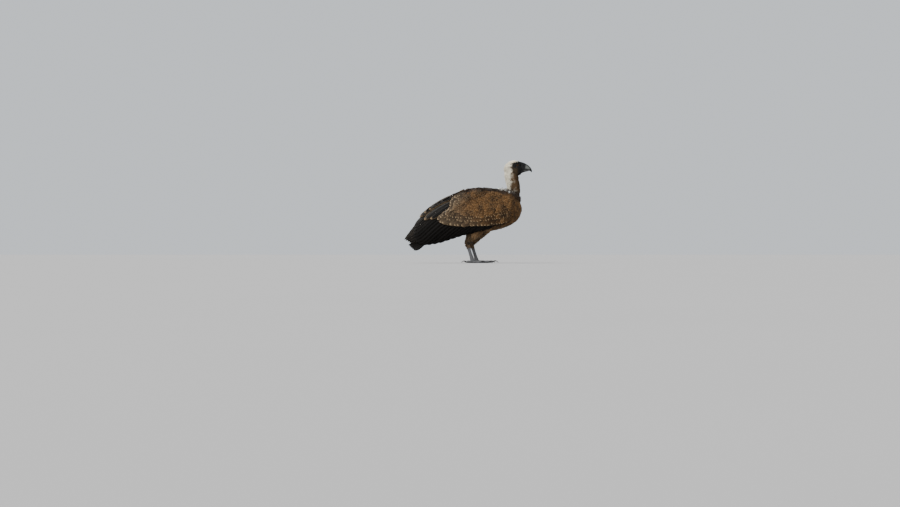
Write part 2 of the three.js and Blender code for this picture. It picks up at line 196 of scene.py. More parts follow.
def move_to(mesh, co):
    """Moves the vertices to these places."""
    mesh.vertices.foreach_set("co", co.astype(np.float32).ravel())
    mesh.update()


def paint(mesh, name, values):
    """Stores a number or a colour for each vertex."""
    if values.ndim == 1:
        mesh.attributes.new(name, "FLOAT", "POINT").data.foreach_set("value", values.astype(np.float32))
        return
    rgba = np.hstack([values, np.ones((len(values), 1))]).astype(np.float32)
    mesh.attributes.new(name, "FLOAT_COLOR", "POINT").data.foreach_set("color", rgba.ravel())


def merged_copy(nodes, name):
    """One object of copies of these frame nodes, with their loose triangles merged."""
    copies = []
    for node in nodes:
        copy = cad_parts[node].copy()
        copy.data = copy.data.copy()
        for key in list(copy.keys()):
            del copy[key]
        copy.parent = None
        copy.hide_render = copy.hide_viewport = False
        bpy.context.scene.collection.objects.link(copy)
        copies.append(copy)
    only(*copies)
    bpy.ops.object.join()
    piece = bpy.context.object
    piece.name = piece.data.name = name
    piece.data.materials.clear()
    edited(piece, bpy.ops.mesh.remove_doubles, threshold=0.01 * MM)
    return piece


def mesh_object(name, verts, loops, sizes):
    """An object from arrays: its vertices, the vertex of each face corner and each face's corner count."""
    mesh = bpy.data.meshes.new(name)
    mesh.vertices.add(len(verts))
    mesh.vertices.foreach_set("co", verts.astype(np.float32).ravel())
    mesh.loops.add(len(loops))
    mesh.loops.foreach_set("vertex_index", loops.astype(np.int32))
    mesh.polygons.add(len(sizes))
    starts = np.concatenate([[0], np.cumsum(sizes)[:-1]])
    mesh.polygons.foreach_set("loop_start", starts.astype(np.int32))
    mesh.update(calc_edges=True)
    mesh.shade_smooth()
    obj = bpy.data.objects.new(name, mesh)
    bpy.context.scene.collection.objects.link(obj)
    return obj


def ring_quads(rings, sides, closed=False):
    """The corners of the faces between rings of points, and from the last to the first if closed."""
    ring, side = np.meshgrid(np.arange(rings if closed else rings - 1), np.arange(sides), indexing="ij")
    ring, side = ring.ravel(), side.ravel()
    after = (side + 1) % sides
    near, far = ring * sides, (ring + 1) % rings * sides
    return np.stack([near + side, near + after, far + after, far + side], 1)


def tube_faces(rings, sides):
    """The corners and sizes of the faces of a tube of rings, closed by a point at either end."""
    quads = ring_quads(rings, sides)
    k = np.arange(sides)
    step = (k + 1) % sides
    root, tip, last = rings * sides, rings * sides + 1, (rings - 1) * sides
    root_fan = np.stack([np.full(sides, root), step, k], 1)
    tip_fan = np.stack([np.full(sides, tip), last + k, last + step], 1)
    loops = np.concatenate([quads.ravel(), root_fan.ravel(), tip_fan.ravel()])
    sizes = np.concatenate([np.full(len(quads), 4), np.full(2 * sides, 3)])
    return loops, sizes


def lofted(name, rings):
    """A closed object through rings of points, shape (rings, sides, 3)."""
    count, sides = rings.shape[:2]
    verts = np.vstack([rings.reshape(-1, 3), rings[0].mean(0), rings[-1].mean(0)])
    obj = mesh_object(name, verts, *tube_faces(count, sides))
    edited(obj, bpy.ops.mesh.normals_make_consistent, inside=False)
    return obj


# ---- Finishes ----------------------------------------------------------------------------------


class Finish:
    """A node material being made. Each helper adds nodes and returns an output socket."""

    def __init__(self, name, **sockets):
        self.material = bpy.data.materials.new(name)
        self.material.use_nodes = True
        self.tree = self.material.node_tree
        self.shader = self.tree.nodes["Principled BSDF"]
        for key, value in sockets.items():
            self.shader.inputs[key.replace("_", " ")].default_value = value

    def add(self, kind, inputs=(), **settings):
        """Adds a node with these settings and these numbers or sockets at its inputs."""
        node = self.tree.nodes.new(kind)
        for key, value in settings.items():
            setattr(node, key, value)
        for key, value in dict(inputs).items():
            self.feed(node.inputs[key], value)
        return node

    def feed(self, socket, value):
        """Sets an input to a number, or links another node's output to it."""
        if isinstance(value, bpy.types.NodeSocket):
            self.tree.links.new(value, socket)
        else:
            socket.default_value = value

    def place(self):
        """The place on the object, in metres."""
        return self.add("ShaderNodeTexCoord").outputs["Object"]

    def stored(self, name, output="Fac"):
        """A number or a colour stored at the vertices."""
        return self.add("ShaderNodeAttribute", attribute_name=name).outputs[output]

    def vane(self):
        """Across the vane from 0 to 1, and along it from root to tip."""
        uv = self.add("ShaderNodeUVMap", uv_map="Vane").outputs["UV"]
        parts = self.add("ShaderNodeSeparateXYZ", {"Vector": uv})
        return parts.outputs["X"], parts.outputs["Y"]

    def noise(self, scale, detail=3.0, vector=None, stretch=None):
        """Soft noise from 0 to 1 with this many lumps to a metre, finer along the stretched axes."""
        vector = vector or self.place()
        if stretch:
            vector = self.add("ShaderNodeMapping", {"Vector": vector, "Scale": stretch}).outputs[0]
        node = self.add("ShaderNodeTexNoise", {"Vector": vector, "Scale": scale, "Detail": detail})
        return node.outputs["Fac"]

    def ramp(self, value, low, high):
        """0 below low and 1 above high; high may lie below low."""
        node = self.add("ShaderNodeMapRange", {"Value": value, "From Min": low, "From Max": high})
        node.interpolation_type = "SMOOTHSTEP"
        return node.outputs["Result"]

    def math(self, operation, a, b=0.0):
        """One sum on two numbers or sockets."""
        return self.add("ShaderNodeMath", {0: a, 1: b}, operation=operation).outputs[0]

    def times(self, a, b):
        """The product of two numbers or sockets, as plus is their sum and minus their difference."""
        return self.math("MULTIPLY", a, b)

    def plus(self, a, b):
        return self.math("ADD", a, b)

    def minus(self, a, b):
        return self.math("SUBTRACT", a, b)

    def mix(self, share, a, b, blend="MIX"):
        """A colour between two others."""
        node = self.add("ShaderNodeMix", {0: share}, data_type="RGBA", blend_type=blend)
        for key, value in ((6, a), (7, b)):
            if not isinstance(value, bpy.types.NodeSocket):
                value = (*value, 1.0)
            self.feed(node.inputs[key], value)
        return node.outputs[2]

    def scaled(self, colour, factor):
        """A colour made brighter or darker by a number."""
        grey = self.add("ShaderNodeCombineColor", {0: factor, 1: factor, 2: factor}).outputs[0]
        return self.mix(1.0, colour, grey, "MULTIPLY")

    def bump(self, height, distance, strength):
        """Raises the surface by a share of this distance in metres."""
        node = self.add("ShaderNodeBump", {"Height": height, "Distance": distance, "Strength": strength})
        self.tree.links.new(node.outputs[0], self.shader.inputs["Normal"])

    def colour(self, value):
        """Makes this the surface's own colour."""
        self.tree.links.new(value, self.shader.inputs["Base Color"])


def feather_finish(name, edge, edge_colour, streak, centre, end=1.0, fine=46.0, roughness=0.8, gloss=0.16):
    """Vane colours over the stored marking: a pale rim, a shaft streak, a darker centre and fine barbs.

    edge, streak and centre say how strong these are, end how much of the rim goes round the tip and fine
    how close together the barbs are.
    """
    f = Finish(name, Roughness=roughness, Specular_IOR_Level=gloss)
    edge_colour = linear(edge_colour)
    across, along = f.vane()
    side = f.times(f.math("ABSOLUTE", f.minus(across, 0.5)), 2.0)
    marking = f.stored("Marking", "Color")
    tint = f.stored("Tint")
    slant = f.minus(along, f.times(side, 0.2))
    across_barbs, along_barbs = f.times(slant, fine), f.times(side, 1.5)
    own = f.times(tint, 90.0)
    comb = f.add("ShaderNodeCombineXYZ", {0: across_barbs, 1: along_barbs, 2: own})
    barb = f.noise(1.0, 2.0, comb.outputs[0])
    ragged = f.times(f.minus(barb, 0.5), 0.5)
    worn = f.times(f.minus(f.noise(110.0, 2.0), 0.5), 0.5)
    rim = f.math("MAXIMUM", f.math("POWER", side, 2.6), f.times(f.math("POWER", along, 8.0), end))
    rim = f.ramp(f.plus(f.plus(rim, ragged), worn), 0.5, 0.95)
    middle = f.ramp(f.plus(f.plus(side, ragged), worn), 0.95, 0.15)
    middle = f.times(middle, f.ramp(along, 1.0, 0.5))
    shade = f.plus(f.times(tint, 0.7), f.times(barb, 0.8))
    colour = f.scaled(marking, f.plus(shade, 0.25))
    colour = f.mix(f.times(middle, centre), colour, f.scaled(colour, 0.3))
    colour = f.mix(f.times(rim, edge), colour, f.mix(0.35, edge_colour, marking))
    shaft = f.times(f.ramp(side, 0.09, 0.02), streak)
    f.colour(f.mix(shaft, colour, edge_colour))
    f.bump(barb, 0.00025, 0.8)
    return f.material


def flight_finish(name, edge, edge_colour, end=0.6):
    """A long stiff feather's finish: fine close barbs and a faint streak."""
    return feather_finish(name, edge, edge_colour, 0.05, 0.0, end, fine=160.0, roughness=0.6, gloss=0.08)


def down_finish(name):
    """Soft dull tufts over the stored marking, with painted shade darkening them towards the root."""
    f = Finish(name, Roughness=0.9, Sheen_Weight=0.1, Specular_IOR_Level=0.12)
    _, along = f.vane()
    tint = f.stored("Tint")
    colour = f.scaled(f.stored("Marking", "Color"), f.plus(f.times(tint, 0.45), 0.78))
    # Painted shade: each tuft darkens towards its root, under the others.
    f.colour(f.mix(f.ramp(along, 0.45, 0.0), colour, f.scaled(colour, 0.82)))
    return f.material


def skin_finish():
    """Skin, creased on the face, pebbled on the legs and plated on the toes, with painted shade in the
    grooves between the scales.
    """
    f = Finish("Skin", Roughness=0.6, Specular_IOR_Level=0.3)
    place = f.place()
    marking = f.stored("Marking", "Color")
    cells = f.add("ShaderNodeTexVoronoi", {"Vector": place, "Scale": 460.0}, feature="DISTANCE_TO_EDGE")
    pebbles = f.ramp(cells.outputs[0], 0.0, 0.42)
    plates = f.math("POWER", f.math("ABSOLUTE", f.math("SINE", f.stored("Scutes"))), 0.45)
    plated = f.stored("Plated")
    height = f.plus(f.times(plates, plated), f.times(pebbles, f.minus(1.0, plated)))
    scaly = f.stored("Scaly")
    # Painted shade: the bare skin darkens in the grooves between its pebbles and plates.
    groove_shade = f.times(f.ramp(height, 0.55, 0.0), f.times(scaly, 0.45))
    colour = f.scaled(marking, f.plus(f.times(f.noise(60.0, 4.0, place), 0.7), 0.65))
    f.colour(f.mix(groove_shade, colour, f.scaled(colour, 0.3)))
    creases = f.times(f.noise(520.0, 4.0, place), 0.45)
    f.bump(f.plus(f.times(height, scaly), creases), 0.0006, 0.75)
    return f.material


def horn_finish(name, gloss, layered=0.8, pores=0.0):
    """Horn or waxy skin over the stored marking, in layers and with fine pores."""
    f = Finish(name, Roughness=gloss, Specular_IOR_Level=0.25, Coat_Weight=0.06, Coat_Roughness=0.3)
    place = f.place()
    layers = f.noise(90.0, 4.0, place, (0.5, 1.0, 2.2))
    f.colour(f.scaled(f.stored("Marking", "Color"), f.plus(f.times(layers, layered), 0.6)))
    grown = f.noise(240.0, 3.0, place, (0.4, 1.0, 2.0))
    pitted = f.times(f.noise(900.0, 2.0, place), pores)
    f.bump(f.plus(grown, pitted), 0.0003, 0.6)
    return f.material


# ---- Markings ----------------------------------------------------------------------------------


def plumage():
    """The colours that are set in the sidebar."""
    return bpy.context.scene.vulture_colours


def blend(colour, other, share):
    """Colours moved towards one of the sidebar's, by a share for each."""
    return mixed(colour, linear(other), np.clip(share, 0, 1)[:, None])


def body_marking(co, wander):
    """Blotched browns, dark behind the wings' coverts and, partly as painted shade, along the top line, with
    a painted shadow where the wing's front edge lies over the breast.
    """
    c = plumage()
    x, y, z = co[:, 0], np.abs(co[:, 1]), co[:, 2]
    along_back = [-0.22, -0.15, -0.05, 0.05, 0.15, 0.23]
    top_line = np.interp(x, along_back, [0.318, 0.362, 0.412, 0.438, 0.436, 0.412])
    covert_end = np.interp(z, [0.244, 0.296, 0.332, 0.406, 0.43], [-0.178, -0.108, -0.104, -0.05, -0.02])
    # A band under the back's top line: partly darker mantle feathers, partly painted shade.
    along_top = smooth(0.032, 0.012, top_line - z + wander * 0.5)
    behind = smooth(-0.004, 0.008, covert_end - x + wander * 0.3)
    # Painted shadow: a dark line down the breast where the wing's front edge lies over it.
    wing_front_shade = np.exp(-(((x - 0.231 + wander * 0.2) / 0.004) ** 2)) * smooth(0.295, 0.27, z)
    body = np.tile(linear(c.covert), (len(co), 1))
    body = blend(body, c.rear_covert, smooth(0.03, -0.09, x) * 0.8)
    body = blend(body, c.breast, smooth(0.19, 0.25, x))
    # The painted shadow at the wing's front edge, in the mantle's dark colour.
    body = blend(body, c.mantle, wing_front_shade * 0.7)
    # The mantle's dark behind the coverts, and along the top line partly as painted shade.
    body = blend(body, c.mantle, np.maximum(along_top, behind) * smooth(0.2, 0.25, z))
    body = blend(body, c.belly, smooth(0.24, 0.19, z) * smooth(0.12, 0.06, y) * 0.7)
    body = blend(body, c.thigh, smooth(0.21, 0.15, z))
    body = blend(body, c.mantle, smooth(-0.12, -0.17, x))
    blotch = 0.6 * grain(co, 0.034, 3) + 0.4 * grain(co, 0.013, 4)
    return body * (0.42 + 1.16 * smooth(0.24, 0.76, blotch))[:, None]


def neck_marking(co, wander):
    """Cream behind and brown in front, with blotches where they meet, and a black face; the front's brown
    and the face's black are each partly painted shade.
    """
    c = plumage()
    x, z = co[:, 0], co[:, 2]
    heights = [0.39, 0.424, 0.496, 0.54, 0.573, 0.588, 0.6]
    ahead = x - np.interp(z, heights, [0.272, 0.262, 0.244, 0.252, 0.262, 0.286, 0.299])
    front = smooth(-0.004, 0.007, ahead + wander)
    blotch = smooth(0.52, 0.68, grain(co, 0.009, 5)) * smooth(0.034, 0.014, ahead)
    darker = np.maximum(smooth(0.455, 0.4, z), smooth(0.024, 0.044, ahead))
    face_edge = np.interp(z, [0.49, 0.51, 0.53, 0.573, 0.588], [0.305, 0.276, 0.26, 0.26, 0.288])
    face = smooth(-0.005, 0.007, x - face_edge + wander * 0.5) * smooth(0.492, 0.512, z)
    cheek = smooth(0.56, 0.54, z) * smooth(0.3, 0.285, x)
    neck = np.tile(linear(c.nape), (len(co), 1))
    # The front's brown: partly the neck's own brownish down, partly painted shade on the side turned from
    # the light.
    neck = blend(neck, c.throat, front)
    neck = blend(neck, c.nape, blotch * 0.5)
    neck = blend(neck, c.neck_base, darker * front * 0.8)
    # The black face: partly dark bare skin and bristles, partly painted shade.
    neck = blend(neck, c.face, face)
    return blend(neck, c.cheek, face * cheek)


def marking(co, with_neck=True):
    """The coat's colour at each place, painted shade on the face, the neck's front and the body included,
    the same for the skin and for what grows on it.
    """
    x, z = co[:, 0], co[:, 2]
    wander = 0.03 * (grain(co, 0.02, 1) - 0.5) + 0.022 * (grain(co, 0.008, 2) - 0.5)
    height = z - 0.25 * (x - 0.25) * (x < 0.25)
    share = smooth(0.395, 0.425, height) * smooth(0.196, 0.212, x) * with_neck
    colour = mixed(body_marking(co, wander), neck_marking(co, wander), share[:, None])
    # The legs and feet are bare and grey below the feathered thigh.
    return blend(colour, plumage().foot, smooth(0.1, 0.084, z) * smooth(-0.08, -0.05, x))


# ---- Surfaces that the coat is laid on ------------------------------------------------------------


class Form:
    """A closed surface that feathers are laid on, with quick searches and smooth normals."""

    def __init__(self, mesh):
        self.verts = places(mesh)
        self.normals = normals(mesh)
        mesh.calc_loop_triangles()
        self.corners = fetched(mesh.loop_triangles, "vertices", 3, np.int32)
        self.tree = BVHTree.FromPolygons(self.verts.tolist(), self.corners.tolist())

    def weights(self, points, index):
        """The share of each of a triangle's corners at a point on it."""
        a, b, c = (self.verts[self.corners[index][:, k]] for k in range(3))
        normal = np.cross(b - a, c - a)
        area = np.maximum((normal * normal).sum(1), 1e-18)
        w1 = (np.cross(points - a, c - a) * normal).sum(1) / area
        w2 = (np.cross(b - a, points - a) * normal).sum(1) / area
        return np.stack([1 - w1 - w2, w1, w2], 1)

    def nearest(self, points):
        """The nearest places on the surface, the smooth normals there and the triangles."""
        found = [self.tree.find_nearest(p) for p in points.tolist()]
        place = np.array([f[0] for f in found])
        index = np.array([f[2] for f in found])
        w = self.weights(place, index)[..., None]
        return place, unit((self.normals[self.corners[index]] * w).sum(1)), index

    def sprinkle(self, count, rng, inside):
        """Random places on the part of the surface for which inside(middles, normals) holds."""
        a, b, c = (self.verts[self.corners[:, k]] for k in range(3))
        cross = np.cross(b - a, c - a)
        area = np.linalg.norm(cross, axis=1) * inside((a + b + c) / 3, unit(cross))
        index = rng.choice(len(area), count, p=area / area.sum())
        r1, r2 = np.sqrt(rng.random(count)), rng.random(count)
        w = np.stack([1 - r1, r1 * (1 - r2), r1 * r2], 1)[..., None]
        place = (self.verts[self.corners[index]] * w).sum(1)
        return place, unit((self.normals[self.corners[index]] * w).sum(1))

    def open_sky(self, points, directions, clear=4 * MM, reach=50 * MM):
        """Whether nothing of the surface lies close in front of each point."""
        start = points + directions * clear
        hits = [self.tree.ray_cast(p, d, reach)[0] for p, d in zip(start.tolist(), directions.tolist())]
        return np.array([hit is None for hit in hits])


def thinned(points, gaps):
    """Which points to keep so that each is alone within its own gap, in the order given."""
    tree = KDTree(len(points))
    for i, p in enumerate(points.tolist()):
        tree.insert(p, i)
    tree.balance()
    alive = np.ones(len(points), bool)
    keep = []
    for i, (p, gap) in enumerate(zip(points.tolist(), gaps.tolist())):
        if not alive[i]:
            continue
        keep.append(i)
        for _, j, _ in tree.find_range(p, gap):
            alive[j] = False
    return np.array(keep)


# The way the coat lies: [x, y, z], [ahead, outwards, up] and the length of a feather, in millimetres.
LIE = np.array([
    [310, 0, 586, -1, 0, 0.3, 4],
    [262, 0, 596, -1, 0, 0, 6],
    [212, 0, 545, -0.2, 0, -1, 9],
    [285, 33, 545, -0.8, 0, -0.6, 4],
    [297, 0, 503, -0.4, 0, -0.9, 7],
    [262, 38, 465, 0, 0, -1, 9],
    [225, 0, 460, 0.05, 0, -1, 10],
    [305, 0, 430, 0, 0, -1, 10],
    [262, 48, 396, -0.15, 0.25, -1, 20],
    [312, 0, 330, -0.15, 0, -1, 26],
    [300, 0, 375, 0, 0, -1, 20],
    [275, 80, 330, -0.5, 0.1, -0.9, 28],
    [275, 0, 238, -0.85, 0, -0.5, 30],
    [100, 0, 182, -1, 0, 0.05, 40],
    [-120, 0, 165, -1, 0, -0.1, 46],
    [235, 72, 405, -0.9, 0.25, -0.45, 30],
    [120, 0, 438, -1, 0, -0.02, 42],
    [-30, 0, 412, -1, 0, -0.3, 56],
    [-170, 0, 300, -0.85, 0, -0.6, 62],
    [225, 115, 300, -0.75, 0, -0.65, 20],
    [262, 95, 350, -0.8, 0.3, -0.5, 15],
    [245, 108, 290, -0.75, 0.15, -0.65, 17],
    [225, 112, 250, -0.8, 0.05, -0.6, 19],
    [60, 135, 320, -0.82, 0, -0.57, 40],
    [-100, 120, 300, -0.8, 0, -0.6, 50],
    [80, 128, 220, -0.85, 0, -0.5, 45],
    [110, 105, 230, -0.5, 0, -0.87, 30],
    [70, 100, 170, -0.45, 0, -0.9, 34],
    [18, 80, 126, 0, 0, -1, 17],
    [18, 80, 100, 0, 0, -1, 7],
    [0, 70, 185, -0.3, 0, -0.95, 34],
])
LIE_REACH = 42 * MM


def lie(points):
    """The way the coat runs at each place, and the length of a feather there."""
    sideways = [False, True, False]
    mirrored = np.where(sideways, np.abs(points), points)
    away = ((mirrored[:, None] - LIE[None, :, :3] * MM) ** 2).sum(2)
    weight = np.exp(-away / (2 * LIE_REACH**2)) + 1e-9 / (away + 1e-6)
    weight /= weight.sum(1, keepdims=True)
    found = weight @ LIE[:, 3:]
    heading = found[:, :3] * np.where(sideways, np.sign(points), 1.0)
    return unit(heading), found[:, 3] * MM


def tangent(vectors, normal):
    """The vectors laid down on the surface, at length 1."""
    return unit(vectors - (vectors * normal).sum(-1, keepdims=True) * normal)


def combed(form, roots, normal, lengths, rings, heading):
    """Paths that run over the surface from their roots the way the coat lies."""
    heading = tangent(heading, normal)
    path, ups = [roots], [normal]
    for step in np.diff(ring_places(rings)):
        ahead = path[-1] + heading * (lengths * step)[:, None]
        place, up, _ = form.nearest(ahead)
        heading = tangent(0.75 * heading + 0.25 * lie(place)[0], up)
        path.append(place)
        ups.append(unit(ups[-1] + up))
    return np.stack(path, 1), np.stack(ups, 1)


# ---- Vanes and tufts -----------------------------------------------------------------------------

# Sections of a vane, as [side from -1 to 1, height as a share of the thickness], in a ring.
SECTIONS = {
    "tuft": [[-1, 0], [0, 1], [1, 0]],
    "leaf": [[-1, 0], [-0.4, 0.8], [0.4, 0.8], [1, 0], [0, -0.8]],
    "vane": [[-1, 0], [-0.55, 0.6], [0, 1.1], [0.55, 0.6], [1, 0], [0, -0.8]],
    "quill": [
        [-1, 0], [-0.55, 0.5], [-0.07, 0.6], [0, 1.5], [0.07, 0.6], [0.55, 0.5], [1, 0],
        [0.5, -0.5], [0, -1.2], [-0.5, -0.5],
    ],
}
# Outlines, as [place along, half width as a share of the widest].
OUTLINES = {
    "round": [
        [0, 0.2], [0.12, 0.5], [0.35, 0.86], [0.62, 1.0], [0.8, 0.97], [0.89, 0.84], [0.95, 0.6],
        [0.985, 0.34], [1, 0.14],
    ],
    "lance": [[0, 0.25], [0.2, 0.7], [0.45, 1.0], [0.7, 0.8], [0.88, 0.45], [1, 0.06]],
    "long": [
        [0, 0.25], [0.1, 0.6], [0.3, 0.92], [0.6, 1.0], [0.84, 0.96], [0.92, 0.82], [0.965, 0.6],
        [0.99, 0.34], [1, 0.12],
    ],
    "wing": [
        [0, 0.3], [0.15, 0.7], [0.4, 0.98], [0.6, 1.0], [0.78, 0.94], [0.9, 0.74], [0.97, 0.42], [1, 0.08],
    ],
}


class Coat:
    """Feathers gathered into one piece."""

    def __init__(self):
        self.parts = {key: [] for key in ("verts", "loops", "sizes", "vane", "marking", "tint", "bake")}
        self.count = 0

    def add(self, verts, faces, vane, tint, marks, patches):
        """Adds copies of one closed shape: verts is (copies, vertices, 3) and vane the UV of each vertex.

        patches holds the middle and the size of each copy's place on the bake.
        """
        copies, per = verts.shape[:2]
        loops, sizes = faces
        starts = self.count + np.arange(copies)[:, None] * per
        middle, span = patches
        bake = np.clip(middle[:, None] + (vane[None] - 0.5) * span, 0, 1)
        store = self.parts
        store["verts"].append(verts.reshape(-1, 3))
        store["loops"].append((starts + loops[None]).ravel())
        store["sizes"].append(np.tile(sizes, copies))
        store["vane"].append(np.tile(vane[loops], (copies, 1)))
        store["bake"].append(bake[:, loops].reshape(-1, 2))
        store["marking"].append(np.repeat(marks, per, 0))
        store["tint"].append(np.repeat(tint, per))
        self.count += copies * per

    def vanes(self, path, ups, half_widths, section, outline, thickness, tint, marks, camber=0.0, roll=0.0,
              ragged=None, patches=None):
        """Adds one closed vane along each path. path and ups are (feathers, rings, 3)."""
        feathers, rings = path.shape[:2]
        shape = np.array(SECTIONS[section], float)
        share = ring_places(rings)
        half = half_widths[:, None] * np.interp(share, *np.array(OUTLINES[outline]).T)
        run = unit(np.gradient(path, axis=1))
        across = unit(np.cross(ups, run))
        up = np.cross(run, across)
        roll = np.broadcast_to(np.asarray(roll, float), (feathers,))[:, None, None]
        across, up = across * np.cos(roll) + up * np.sin(roll), up * np.cos(roll) - across * np.sin(roll)
        thick = np.broadcast_to(np.asarray(thickness, float), (feathers,))[:, None] * mixed(1.0, 0.45, share)
        side = shape[:, 0]
        height = thick[..., None] * shape[:, 1] - camber * side**2 * half[..., None]
        reach = half[..., None] * side
        if ragged is not None:
            reach = reach * np.where(side < 0, ragged[..., :1], ragged[..., 1:])
        grid = path[:, :, None] + across[:, :, None] * reach[..., None] + up[:, :, None] * height[..., None]
        ends = [path[:, 0] - run[:, 0] * half[:, :1] * 0.5, path[:, -1] + run[:, -1] * half[:, -1:] * 0.9]
        verts = np.concatenate([grid.reshape(feathers, -1, 3), np.stack(ends, 1)], 1)
        across_uv = np.concatenate([np.tile(side * 0.5 + 0.5, rings), [0.5, 0.5]])
        along_uv = np.concatenate([np.repeat(share, len(shape)), [0.0, 1.0]])
        self.add(verts, tube_faces(rings, len(shape)), np.stack([across_uv, along_uv], 1), tint, marks,
                 patches or (unwrapped(path[:, 0]), BAKE_PATCH))

    def tufts(self, root, middle, tip, up, half, tint, marks):
        """Adds the smallest tufts, which are three-sided and bent once."""
        across = unit(np.cross(up, tip - root))
        sides = [across * half[:, None], up * (half * 0.7)[:, None], -across * half[:, None]]
        ring = [root + side * 0.8 for side in sides] + [middle + side for side in sides]
        vane = np.array([[0, 0], [0.5, 0], [1, 0], [0, 0.5], [0.5, 0.5], [1, 0.5], [0.5, 1]], float)
        loops = np.array([0, 3, 4, 1, 1, 4, 5, 2, 2, 5, 3, 0, 3, 6, 4, 4, 6, 5, 5, 6, 3, 0, 1, 2])
        sizes = np.array([4, 4, 4, 3, 3, 3, 3])
        self.add(np.stack([*ring, tip], 1), (loops, sizes), vane, tint, marks, (unwrapped(root), BAKE_PATCH))

    def piece(self, name, slot, finish, nodes=()):
        """Makes the gathered feathers one object."""
        parts = {key: np.concatenate(values) for key, values in self.parts.items()}
        obj = mesh_object(name, parts["verts"], parts["loops"], parts["sizes"])
        mesh = obj.data
        for key, layer in (("bake", "OFBake"), ("vane", "Vane")):
            mesh.uv_layers.new(name=layer).data.foreach_set("uv", parts[key].astype(np.float32).ravel())
        paint(mesh, "Marking", parts["marking"])
        paint(mesh, "Tint", parts["tint"])
        return settle(obj, name, finish, nodes)


def strips(count):
    """Places on a piece's own bake: one upright strip for each long feather."""
    middle = np.stack([(np.arange(count) + 0.5) / count, np.full(count, 0.5)], 1)
    return middle, np.array([0.94 / count, 0.98])


# The side of a small feather's square on the skin's unwrap.
BAKE_PATCH = 0.003
# What one operator makes for those after it: the forms of skin and cere, and the skin's unwrap.
made = {}


def unwrapped(points):
    """The places on the skin's unwrap that lie nearest to these points."""
    skin, corner_uv = made["skin form"], made["skin unwrap"]
    place, _, index = skin.nearest(points)
    return (corner_uv[index] * skin.weights(place, index)[..., None]).sum(1)


# ---- Skin --------------------------------------------------------------------------------------

LEG = ["thigh", "tarsus", "foot"] + [f"toe_{toe}" for toe in TOES]
FLESH = ["trunk", "neck", "head"] + [f"{part}_{side}" for side in SIDES for part in LEG]
ARMS = [f"wing_coverts_{side}" for side in SIDES]


def remeshed(nodes, name, voxel, rounds):
    """One smooth closed object in place of these frame nodes."""
    piece = merged_copy(nodes, name)
    modify(piece, "REMESH", mode="VOXEL", voxel_size=voxel)
    modify(piece, "SMOOTH", factor=0.5, iterations=rounds)
    return piece


def coat_depth(co):
    """How far the skin lies inside the outer form: nothing on the feet and most on the body."""
    x, z = co[:, 0], co[:, 2]
    body = mixed(0.0, 7.0, smooth(0.1, 0.2, z))
    neck = smooth(0.41, 0.44, z) * smooth(0.19, 0.21, x)
    body = mixed(body, 6.0, neck)
    return mixed(body, 1.2, smooth(0.495, 0.535, z + 0.35 * (x - 0.26)) * neck) * MM


# Swellings and hollows of the head's sides: [middle x and z, reach x and z, height], in millimetres.
FACE_FORMS = [
    [280, 541, 13, 10, 1.6],  # cheek
    [257, 549, 4, 5, -1.6],  # ear
    [303, 561, 8, 7, -1.3],  # hollow ahead of the eye
    [292, 578, 15, 3.6, 1.3],  # brow
    [289, 554, 12, 3, 0.8],  # fold under the eye
    [312, 570, 9, 9, -0.8],  # hollow behind the cere
]


def faced(co):
    """The skin with the small forms of the head worked into it."""
    side = np.sign(co[:, 1])
    x, z = co[:, 0] / MM, co[:, 2] / MM
    out = np.zeros(len(co))
    for centre_x, centre_z, reach_x, reach_z, height in FACE_FORMS:
        away = ((x - centre_x) / reach_x) ** 2 + ((z - centre_z) / reach_z) ** 2
        out += height * np.exp(-away)
    gape = np.where((x > 279) & (z > 500), smooth(279, 288, x), 0)
    line = z - (540.3 - 0.1 * (305 - x))
    out += gape * (-2.2 * np.exp(-((line / 1.3) ** 2)) + 0.8 * np.exp(-(((np.abs(line) - 3) / 1.6) ** 2)))
    moved = co.copy()
    moved[:, 1] += side * out * MM * (z > 490) * smooth(0.004, 0.014, np.abs(co[:, 1]))
    return moved


# How far round a claw's root its toe is narrowed and how far its end is drawn out.
TOE_NARROWED = 16 * MM
TOE_PUSHED = 1.2 * MM
PLATE_LENGTH = 3.4 * MM
# The heights between which the coat hides the skin, which is coarser there.
COATED = (0.13, 0.44)
COARSER = 0.3


def claw_root(toe, side):
    """The middle of a claw's root and the way its toe points."""
    toe_middle = places(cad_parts[f"toe_{toe}_{side}"].data).mean(0)
    claw = places(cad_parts[f"claw_{toe}_{side}"].data)
    away = np.linalg.norm(claw - toe_middle, axis=1)
    root = claw[away < away.min() + 1.5 * MM].mean(0)
    return root, unit(root - toe_middle)


def toed(co):
    """The skin with the toes narrowed to the roots of their claws."""
    moved = co.copy()
    for side in SIDES:
        for toe in TOES:
            root, ahead = claw_root(toe, side)
            beyond = (co - root) @ ahead
            near = (np.linalg.norm(co - root, axis=1) < TOE_NARROWED) & (beyond < 0.004)
            axis = root + beyond[:, None] * ahead
            narrow = near * smooth(-0.009, 0.0, beyond)
            moved += (axis - co) * (0.3 * narrow)[:, None] + ahead * (TOE_PUSHED * narrow)[:, None]
    return moved


def scutes(co, up):
    """The phase of the toes' cross plates at each place, and how plated the skin is there."""
    phase, plated = np.zeros(len(co)), np.zeros(len(co))
    for side in SIDES:
        for toe in TOES:
            root, ahead = claw_root(toe, side)
            back = -((co - root) @ ahead)
            aside = np.linalg.norm(co - root + back[:, None] * ahead, axis=1)
            reach = 0.018 if toe == "hind" else 0.04
            here = smooth(0.012, 0.009, aside) * smooth(reach, reach - 0.008, back)
            here = here * smooth(-0.004, 0.0, back) * smooth(0.1, 0.5, up)
            phase = np.where(here > plated, back * math.pi / PLATE_LENGTH, phase)
            plated = np.maximum(plated, here)
    return phase, plated


